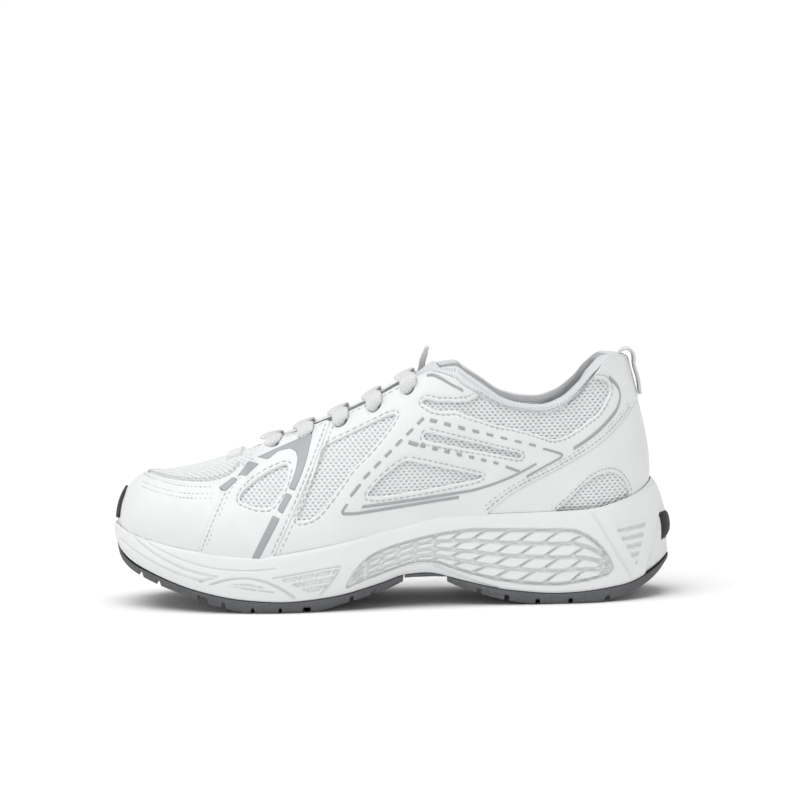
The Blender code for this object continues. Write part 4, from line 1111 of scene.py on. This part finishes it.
def lace_stops():
    """Laced straight: over the tongue at each pair of eyelets and back under the eyestay."""
    found, side = [], -1
    across = np.array([0.0, 1.0, 0.0])
    for k, x in enumerate(EYELETS_X):
        a, b = throat_frame(x, side), throat_frame(x, -side)
        slope = a[3] * np.array([1, 0, 1])
        slope /= np.linalg.norm(slope)
        top = (a[0] + b[0]) / 2 + slope * LACE_LEAD
        turn, inward = side * across, -side * across
        back = (a[1] - throat_frame(x - 4, side)[1]) / 4
        on = (throat_frame(x + 4, -side)[1] - b[1]) / 4
        if k == 0:
            tuck = a[1] - a[2] * 3.0 + np.array([3.5, -6.0, -3.5])
            found.append((tuck + np.array([9.0, -6.0, -7.0]), turn, 1.6, 0.8))
            found.append((tuck, turn, 1.7, 0.8))
            back = -np.array([0.4, -0.8, -0.3])
        found.append((a[1] - a[2] * LACE_UNDER - back * 2.6, turn, 1.7, 0.7))
        found.append((a[1] + a[2] * 0.3 - back * 0.2, turn * 0.8 + slope * 0.4, 1.6, 0.8))
        found.append((a[1] + a[2] * 3.9 + inward * 0.4, slope, 3.5, 0.9))
        found.append((a[0] + a[2] * 4.2, slope, LACE_W / 2, LACE_T / 2))
        found.append((top + np.array([0, side * 5.0, 4.0]), slope, LACE_W / 2, LACE_T / 2))
        found.append((top + np.array([0, -side * 5.0, 4.0]), slope, LACE_W / 2, LACE_T / 2))
        found.append((b[0] + b[2] * 4.2, slope, LACE_W / 2, LACE_T / 2))
        found.append((b[1] + b[2] * 3.9 - inward * 0.4, slope, 3.5, 0.9))
        found.append((b[1] + b[2] * 0.3 + on * 0.2, slope * 0.4 - turn * 0.8, 1.6, 0.8))
        found.append((b[1] - b[2] * LACE_UNDER + on * 2.6, -turn, 1.7, 0.7))
        if k + 1 < len(EYELETS_X):
            c = throat_frame((x + EYELETS_X[k + 1]) / 2, -side)
            found.append((c[1] - c[2] * LACE_UNDER, -turn, 1.7, 0.7))
        side = -side
    edge, _, out, _, _ = throat_frame(EYELETS_X[-1] + 4.5, 1)
    lean = np.array([1.0, 0.0, 0.3])
    found.append((edge - out * 2.6, lean, 1.7, 0.7))
    for p in ((12.7, 15.0, 110.2), (13.3, 9.0, 115.3), (14.2, 5.5, 118.6)):
        found.append((np.array(p), lean, 1.7, 0.7))
    return found


stops = lace_stops()
lace = ribbon("shoelace", stops, M_LACE)
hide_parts("shoelace")


def sleeve(name, end, before, length):
    run = (end - before) / np.linalg.norm(end - before)
    ob = ribbon(name, [(end + run * s, np.array([0.3, 0.0, 1.0]), 1.25 * w, 1.2 * w)
                       for s, w in ((-0.6, 1.0), (length * 0.3, 1.0), (length * 0.8, 1.0), (length, 0.7))], M_TIP, 6, 0.0)
    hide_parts(name)


sleeve("lace_tip_top", stops[-1][0], stops[-2][0], 5.2)
sleeve("lace_tip_front", stops[0][0], stops[1][0], 10.8)

# Pull tab: a webbing loop over the rim at the back, its inner leg between skin and padding
def heel_point(v, out):
    return last_point(1.0, v, -1) + [out, 0.0, 0.0]


TAB = [(heel_point(0.88, -1.05), 3.2), (heel_point(0.95, -1.1), 3.2), ((108.5, 0, 116.4), 3.6), ((109.5, 0, 118.5), 5.0),
       ((112.6, 0, 119.3), 6.0), ((115.4, 0, 116.6), 6.0), (heel_point(0.93, 5.0), 6.0), (heel_point(0.82, 5.2), 6.0),
       (heel_point(0.70, 4.3), 6.0)]
tab = ribbon("heel_pull_tab", [(np.array(p, float) * [1, 0, 1], np.array([0.0, 1.0, 0.0]), half,
                                0.45 + 0.12 * max(half - 3.2, 0)) for p, half in TAB],
             M_WEBBING, 8, 0.1)
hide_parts("heel_pull_tab")

# ---------------------------------------------------------------- sole
def even_stations(step):
    """Stations t evenly spaced along the feather line, toe to heel."""
    t = np.linspace(0, 1, 4001)
    foot = plan(t)[2]
    s = np.concatenate([[0], np.cumsum(np.linalg.norm(np.diff(foot, axis=0), axis=1))])
    n = int(s[-1] / step)
    return np.interp(np.linspace(0, s[-1], n + 1), s, t)


def line_z(points, x):
    p = np.array(points, float)
    return np.interp(x, p[:, 0], p[:, 1])


def step_up(x, a, b):
    f = np.clip((x - a) / (b - a), 0, 1)
    return f * f * (3 - 2 * f)


# Grooves: the line, its width and its depth
GROOVES = [
    (arcs([(-126.5, 36, -3.6), (-82, 17.5, 0), (-90.5, 15.5, 0)], False), 0.9, 0.55),
    (arcs([(-131, 32.5, -1.9), (-90.5, 15.5, 0)], False), 0.8, 0.5),
    (arcs([(-124, 36.5, -6.3), (-55, 21.5, 0)], False), 0.6, 0.4),
    (arcs([(-85.5, 14, 5.9), (-45.5, 7.5, 0)], False), 0.7, 0.6),
    (arcs([(-55.5, 17, 0), (-23.5, 22, 1), (-33, 9, 0)], False), 0.6, 0.5),
    (arcs([(95.5, 43.5, 0), (116, 10.5, 0)], False), 0.5, 0.3),
    (arcs([(9.5, 21, 0.5), (19, 21.5, -1.2), (51, 8.5, 0)], False), 0.7, 0.5),
]
# The panel of scales between its upper and its lower edge
PANEL_TOP = arcs([(-21, 12.5, 2.5), (-5.5, 29, 1.6), (39.5, 37.5, 0), (86.5, 36, 3.6), (107, 16, 0)], False)
PANEL_LOW = arcs([(-21, 11, 0.3), (9.5, 21.5, 1.6), (27.5, 19, -2.5), (81, 9, -0.5), (104.5, 13, 0), (107, 16, 0)], False)
BRICKS = arcs([(-55, 17, 0), (-24, 21.5, 1), (-32, 10.5, 0), (-38, 9, 0), (-47, 13.5, 0)])
LENS = arcs([(-80, 13.5, 3.2), (-53, 9.5, 0.4)])
FIN = [(106.5, 37), (123, 39), (118, 17)]


def cells(fx, fy, wide, tall, rib=0.5, round_by=1.8):
    """How far a point is inside a rounded cell: 0 outside to 1 well inside."""
    left, right, low, high = fx * wide - rib, (1 - fx) * wide - rib, fy * tall - rib, (1 - fy) * tall - rib
    corner = round_by - np.hypot(np.maximum(round_by - left, 0), np.maximum(round_by - low, 0))
    m = np.minimum(np.minimum(corner, right), high)
    return step_up(m, 0.0, 0.35)


def carve(x, z):
    """Depth, in mm, that the moulding of the sole wall goes in at side-view places (x, z)."""
    p = np.stack([x, z], 1)
    depth = np.zeros(len(x))
    for line, width, deep in GROOVES:
        near = distance(p, [soften(line, 1, False)], closed=False)
        depth += deep * 1.3 * np.exp(-(near / width) ** 2 * 2.2)
    # panel of slanted scales
    top, low = line_z(PANEL_TOP, x), line_z(PANEL_LOW, x)
    outline = np.vstack([soften(PANEL_TOP, 1, False), soften(PANEL_LOW[::-1], 1, False)])
    near = distance(p, [outline])
    into = np.where(inside(p, outline), near, -near)
    tall = np.maximum(top - low, 0.5) / 4.25
    q = (z - low) / tall - 0.12
    row, fy = np.floor(q), q % 1
    rise = fy * tall
    xs = x - 1.5 * rise
    u = np.log((8.0 + 0.062 * np.clip(xs, -60, 200)) / (8.0 + 0.062 * 72)) / 0.062
    wide = 8.0 + 0.062 * xs
    u = u + 0.06 * (row % 2)
    scale = cells(u % 1, fy, wide, tall)
    panel = step_up(into, 0.0, 0.5) * (1.45 - scale * step_up(into, 0.9, 1.5) * (1.4 - 0.95 * fy))
    depth += np.where(into > -0.2, panel, 0)
    # small bricks under the ball of the foot
    brick = np.array(BRICKS)
    near = distance(p, [brick])
    into = np.where(inside(p, brick), near, -near)
    q = (z - 19.0 - 0.16 * (x + 41)) / 3.3
    fx = ((x - 0.6 * z) / 7.2 + 0.5 * (np.floor(q) % 2)) % 1
    depth += 0.7 * cells(fx, q % 1, 7.2, 3.3, 0.45, 0.9) * step_up(into, 0.5, 0.9)
    lens = np.array(LENS)
    near = distance(p, [lens])
    into = np.where(inside(p, lens), near, -near)
    fx = ((x + 0.3 * z) / 8.5) % 1
    depth += 0.55 * cells(fx, ((z - 12.6 + 0.12 * (x + 66)) / 2.6) % 1, 8.5, 2.6, 0.35, 0.6) * step_up(into, 0.2, 0.6)
    # fin with level strips, and the step to the back
    fin = np.array(FIN)
    near = distance(p, [fin])
    into = np.where(inside(p, fin), near, -near)
    lines = 0.5 - 0.5 * np.cos(math.tau * np.clip((z - 0.12 * (x - 115) - 17.5) / 4.3, 0, 5))
    depth += 0.9 * step_up(into, 0.0, 0.4) * (1 - 0.8 * step_up(lines, 0.15, 0.35))
    return depth


stations = even_stations(0.5)
a_line = np.concatenate([stations, 2 - stations[-2:0:-1]])      # once round


def sole_level(a, out_by, height):
    t, _, foot, out = plan(a)
    w = out_by(t)
    return np.concatenate([foot + out * w[:, None], np.broadcast_to(height(t), t.shape)[:, None]], 1), out


def blend_profiles(p, q, f):
    return lambda t: p(t) * (1 - f) + q(t) * f


LEVELS = [(F["base_out"], F["midsole_z"]),
          (blend_profiles(F["base_out"], F["wall_out"], 0.7), blend_profiles(F["midsole_z"], F["feather_z"], 0.16)),
          (F["wall_out"], blend_profiles(F["midsole_z"], F["feather_z"], 0.45)),
          (blend_profiles(F["wall_out"], F["lip_out"], 0.5), blend_profiles(F["midsole_z"], F["feather_z"], 0.8)),
          (F["lip_out"], F["feather_z"])]
keys = [sole_level(a_line, *level)[0] for level in LEVELS]
out_dir = plan(a_line)[3]
wall = np.array(smooth([np.stack(keys, 0)[k].ravel() for k in range(len(keys))], 16)).reshape(-1, len(a_line), 3)
heights = np.linalg.norm(np.diff(wall, axis=0), axis=2).mean(1)
grid_s = np.concatenate([[0], np.cumsum(heights)])
rows_s = np.linspace(0, grid_s[-1], 74)
wall = np.stack([np.stack([np.interp(rows_s, grid_s, wall[:, i, k]) for k in range(3)], 1) for i in range(len(a_line))], 1)
edge_round = np.interp(rows_s, [0, 0.8, rows_s[-1] - 1.6, rows_s[-1]], [0.5, 0, 0, 0.7])
flat_wall = wall.reshape(-1, 3)
deep = carve(flat_wall[:, 0], flat_wall[:, 2]).reshape(wall.shape[:2])
black = (wall[..., 0] > 122) & (np.abs(wall[..., 1]) < 12.9) & (wall[..., 2] > 27.2) & (wall[..., 2] < 39.8)
behind = step_up(wall[..., 0] - 0.24 * (wall[..., 2] - 15.1), 123.2, 124.0)      # the heel is narrower at the very back
deep = deep + 2.6 * behind * np.abs(out_dir[None, :, 1]) + edge_round[:, None]
# painted shade for the creases: the faster the carving's depth changes, the darker the foam is coloured there
painted_crease_shade = np.abs(np.gradient(deep, axis=0)) + 0.7 * np.abs(np.gradient(deep, axis=1))
deep = deep + np.where(black, 5.0, 0)
wall[..., :2] -= out_dir[None] * deep[..., None]
inner = []
for w, drop in ((2.95, -0.1), (2.85, -0.9), (2.85, -2.0)):
    inner.append(sole_level(a_line, lambda t, w=w: np.full_like(t, w), F["feather_z"])[0] + [0, 0, drop])
wall = np.concatenate([wall, np.array(inner)])
n_ring = len(a_line)
points = wall.reshape(-1, 3)
faces = []
r, k = np.meshgrid(np.arange(len(wall) - 1), np.arange(n_ring), indexing="ij")
q = r * n_ring + k
nxt = r * n_ring + (k + 1) % n_ring
faces = np.stack([q, q + n_ring, nxt + n_ring, nxt], -1).reshape(-1, 4).tolist()


def bridge(points, faces, ring, count, across, height=None, flip=False):
    """Closes a ring from side to side; height gives z at (x, y, t)."""
    half = len(ring) // 2
    n = len(ring)
    grid = []
    extra = []
    for i in range(1, half):
        a, b = points[ring[i]], points[ring[n - i]]
        row = [ring[i]]
        for s in range(1, across):
            f = s / across
            extra.append(a * (1 - f) + b * f)
            row.append(count + len(extra) - 1)
        grid.append(row + [ring[n - i]])
    extra = np.array(extra)
    if height is not None:
        extra[:, 2] = height(extra[:, 0], extra[:, 1], extra[:, 2])
    new = []
    for p, s in zip(grid, grid[1:]):
        new += [[p[j], p[j + 1], s[j + 1], s[j]] for j in range(across)]
    new += [[ring[0], grid[0][j + 1], grid[0][j]] for j in range(across)]
    new += [[ring[half], grid[-1][j], grid[-1][j + 1]] for j in range(across)]
    if flip:
        new = [f[::-1] for f in new]
    return np.vstack([points, extra]), faces + new


points, faces = bridge(points, faces, list(range(n_ring)), len(points), 12)
# painted shade: the crease weight of each wall vertex darkens the foam colour
dust_and_shade = np.zeros(len(points))
dust_and_shade[:painted_crease_shade.size] = np.clip(painted_crease_shade.ravel() * 2.0 - 0.12, 0, 1)
midsole = new_object("midsole", points, faces, M_FOAM, attrs={"painted_crease_shade": dust_and_shade}, smooth_angle=50)
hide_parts("midsole")

# Slots across the tread: place, half width, depth
NOTCHES = ([(x, 0.8, 2.2) for x in (-120, -111, -79, -65, -52, -18.5, -8.5)] + [(-89, 2.4, 2.4), (-39.5, 1.8, 2.4)]
           + [(x, 1.1, 2.3) for x in (42.2, 55.6, 70.4, 86.2, 103.8)])


def tread_height(x, y, z):
    """The underside: blocks parted by slots, shallow near the rim."""
    up = np.zeros_like(x)
    for at, half, deep in NOTCHES:
        up = np.maximum(up, deep * (1 - step_up(np.abs(x - at), half - 0.15, half + 0.15)))
    return z + up


def outsole(name, mat, start, end, low_cut=None):
    t = even_stations(0.42)
    t = t[(along(t) > start) & (along(t) < end)]
    sides = []
    for sign in (1, -1):
        a = sign * t
        top, _ = sole_level(a, F["base_out"], lambda q: F["midsole_z"](q) - F["sole_gap"](q))
        mid, _ = sole_level(a, lambda q: F["base_out"](q) - 0.1 * F["tread_in"](q) + 0.25, lambda q: F["tread_z"](q) * 0.35
                            + 0.65 * (F["midsole_z"](q) - F["sole_gap"](q)))
        low, _ = sole_level(a, lambda q: F["base_out"](q) - 0.75 * F["tread_in"](q), lambda q: F["tread_z"](q) + 0.35)
        rim, _ = sole_level(a, lambda q: F["base_out"](q) - F["tread_in"](q), F["tread_z"])
        rim[:, 2] = tread_height(rim[:, 0], rim[:, 1], rim[:, 2])
        low[:, 2] = np.maximum(low[:, 2], rim[:, 2] + 0.15)
        sides.append([top * 1.0, top * 0.66 + mid * 0.34, mid, mid * 0.5 + low * 0.5, low, rim])
    across = 56
    f = np.linspace(0, 1, across + 1)[1:-1, None, None]
    bottom = sides[0][-1][None] * (1 - f) + sides[1][-1][None] * f
    base_t = F["tread_z"](t)
    width = np.abs(sides[0][-1][:, 1] - sides[1][-1][:, 1])
    x, y = bottom[..., 0], bottom[..., 1]
    lug_u, lug_v = x / 9.0, (y - F["centre_y"](t)) / 8.0
    slot_v = np.abs((lug_v + 0.5) % 1 - 0.5) * 8.0
    slot_u = np.abs((lug_u + 0.5 * (np.floor(lug_v + 0.5) % 2)) % 1 - 0.5) * 9.0
    edge_in = np.minimum(f, 1 - f)[..., 0] * width
    slots = np.maximum(1 - step_up(slot_v, 0.5, 0.9), 1 - step_up(slot_u, 0.5, 0.9)) * step_up(edge_in, 7.0, 7.8)
    z = tread_height(x, y, np.broadcast_to(base_t, x.shape))
    bottom = np.stack([x, y, np.maximum(z, base_t + 1.2 * slots)], -1)
    lid = sides[0][0][None] * (1 - f[::6]) + sides[1][0][None] * f[::6]
    rings_ = sides[0] + list(bottom) + sides[1][::-1] + list(lid)[::-1]
    if low_cut:
        rings_ = [np.stack([p[:, 0], p[:, 1], np.maximum(p[:, 2], low_cut)], 1) for p in rings_]
    grid = np.array(rings_)
    m, n = grid.shape[:2]
    pts = grid.reshape(-1, 3)
    faces = []
    for i in range(m):
        j = (i + 1) % m
        faces += [[i * n + k, j * n + k, j * n + k + 1, i * n + k + 1] for k in range(n - 1)]
    faces += [[i * n for i in range(m)][::-1], [i * n + n - 1 for i in range(m)]]
    ob = new_object(name, pts, faces, mat, smooth_angle=38)
    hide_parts(name)
    return ob


outsole("outsole_forefoot", M_RUBBER, -150, 6.0)
outsole("outsole_heel", M_RUBBER, 27.0, 150)
# the arch shank's near-black colour is painted shade of the arch cavity
outsole("arch_shank", M_SHANK, 6.4, 26.6, 14.4)

# Heel insert: a black block proud of the back of the midsole
n = 41
rings_ = []
for z, out in ((27.4, -0.6), (28.2, 0.3), (30.5, 1.25), (32.5, 1.45), (34.0, 1.35), (37.0, 0.8), (38.9, 0.0), (39.6, -0.8)):
    y = np.linspace(-12.7, 12.7, n)
    ends = 1.2 * (np.abs(y) / 12.7) ** 8
    rings_.append(np.stack([134.4 - 0.018 * y * y + out - ends, y, np.full(n, z)], 1))
rings_ = [rings_[0] * [0, 1, 1] + [123, 0, 0]] + rings_ + [rings_[-1] * [0, 1, 1] + [123, 0, 0]]
block = quad_faces(len(rings_), n)[:, ::-1].tolist()
block += [[k * n for k in range(len(rings_))], [k * n + n - 1 for k in range(len(rings_))][::-1]]
insert = new_object("heel_insert", np.array(rings_).reshape(-1, 3), block, M_BLACK, smooth_angle=40)
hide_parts("heel_insert")

# ---------------------------------------------------------------- insole
t = even_stations(1.2)[2:-2]
f = np.linspace(0, 1, 41)[:, None, None]
lat = sole_level(t, lambda q: np.full_like(q, -2.3), lambda q: F["feather_z"](q) + 4.2)[0]
med = sole_level(-t, lambda q: np.full_like(q, -2.3), lambda q: F["feather_z"](q) + 4.2)[0]
sheet = lat[None] * (1 - f) + med[None] * f
edge_in = np.minimum(f, 1 - f)[..., 0] * np.abs(lat[:, 1] - med[:, 1])
sheet[..., 2] += 1.6 * (1 - step_up(edge_in, 0.0, 9.0)) - 1.5 * (1 - step_up(edge_in, 0.0, 1.0))
under = sheet - [0, 0, 3.9]
grid = np.concatenate([sheet, under[::-1]])
m, n = grid.shape[:2]
faces = []
for i in range(m):
    j = (i + 1) % m
    faces += [[i * n + k, j * n + k, j * n + k + 1, i * n + k + 1] for k in range(n - 1)]
faces += [[i * n for i in range(m)][::-1], [i * n + n - 1 for i in range(m)]]
pts = grid.reshape(-1, 3)
insole = new_object("insole", pts, faces, M_INSOLE, INSOLE_BODY, {"skin_uv": np.stack([pts[:, 0], pts[:, 1], pts[:, 0] * 0], 1)})
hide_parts("insole")

for name, mat in (("lasting_board", M_TONGUE), ("heel_counter", M_SHANK)):
    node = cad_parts[name]
    node.data.materials.clear()
    node.data.materials.append(mat)

# ---------------------------------------------------------------- studio
floor_mat, floor_tree, floor_shader = node_material("floor_paper")
link(floor_tree, ramp(floor_tree, noise(floor_tree, place_vector(floor_tree), 3), [(0.3, (0.93, 0.93, 0.93)), (0.7, (0.95, 0.95, 0.95))]),
     floor_shader.inputs["Base Color"])
floor_shader.inputs["Roughness"].default_value = 0.9
floor_mesh = bpy.data.meshes.new("floor")
floor_mesh.from_pydata([(-90, -90, 0), (90, -90, 0), (90, 90, 0), (-90, 90, 0)], [], [[0, 1, 2, 3]])
floor_mesh.materials.append(floor_mat)
floor = bpy.data.objects.new("floor", floor_mesh)
bpy.context.scene.collection.objects.link(floor)

world = bpy.data.worlds.new("studio")
bpy.context.scene.world = world
world.use_nodes = True
sky = world.node_tree
height = sky.nodes.new("ShaderNodeSeparateXYZ")
link(sky, sky.nodes.new("ShaderNodeTexCoord").outputs["Generated"], height.inputs[0])
link(sky, ramp(sky, height.outputs[2], [(0.10, (1.03, 1.03, 1.03)), (0.35, (0.5, 0.5, 0.5))]), sky.nodes["Background"].inputs["Color"])
sky.nodes["Background"].inputs["Strength"].default_value = 1.0

lamp = bpy.data.lights.new("overhead", "SUN")
lamp.energy = 2.1
lamp.angle = math.radians(55)
overhead = bpy.data.objects.new("overhead", lamp)
overhead.rotation_euler = (math.radians(14), math.radians(-12), 0)
bpy.context.scene.collection.objects.link(overhead)

# Camera: level with the shoe's side, a long lens
camera = bpy.data.cameras.new("camera")
camera.lens, camera.sensor_width = 138.7, 36
cam = bpy.data.objects.new("camera", camera)
bpy.context.scene.collection.objects.link(cam)
bpy.context.scene.camera = cam
target = np.array([5.4, 0.67, 96.5]) * MM
up, roll_by = math.radians(4.5), math.radians(1.3)
forward = np.array([0, math.cos(up), -math.sin(up)])
up0 = np.array([0, math.sin(up), math.cos(up)])
right = math.cos(roll_by) * np.array([1, 0, 0]) - math.sin(roll_by) * up0
high = math.sin(roll_by) * np.array([1, 0, 0]) + math.cos(roll_by) * up0
place_at = target - forward * 1.5
cam.matrix_world = Matrix([[right[k], high[k], -forward[k], place_at[k]] for k in range(3)] + [[0, 0, 0, 1]])
bpy.context.scene.view_settings.view_transform = "Standard"
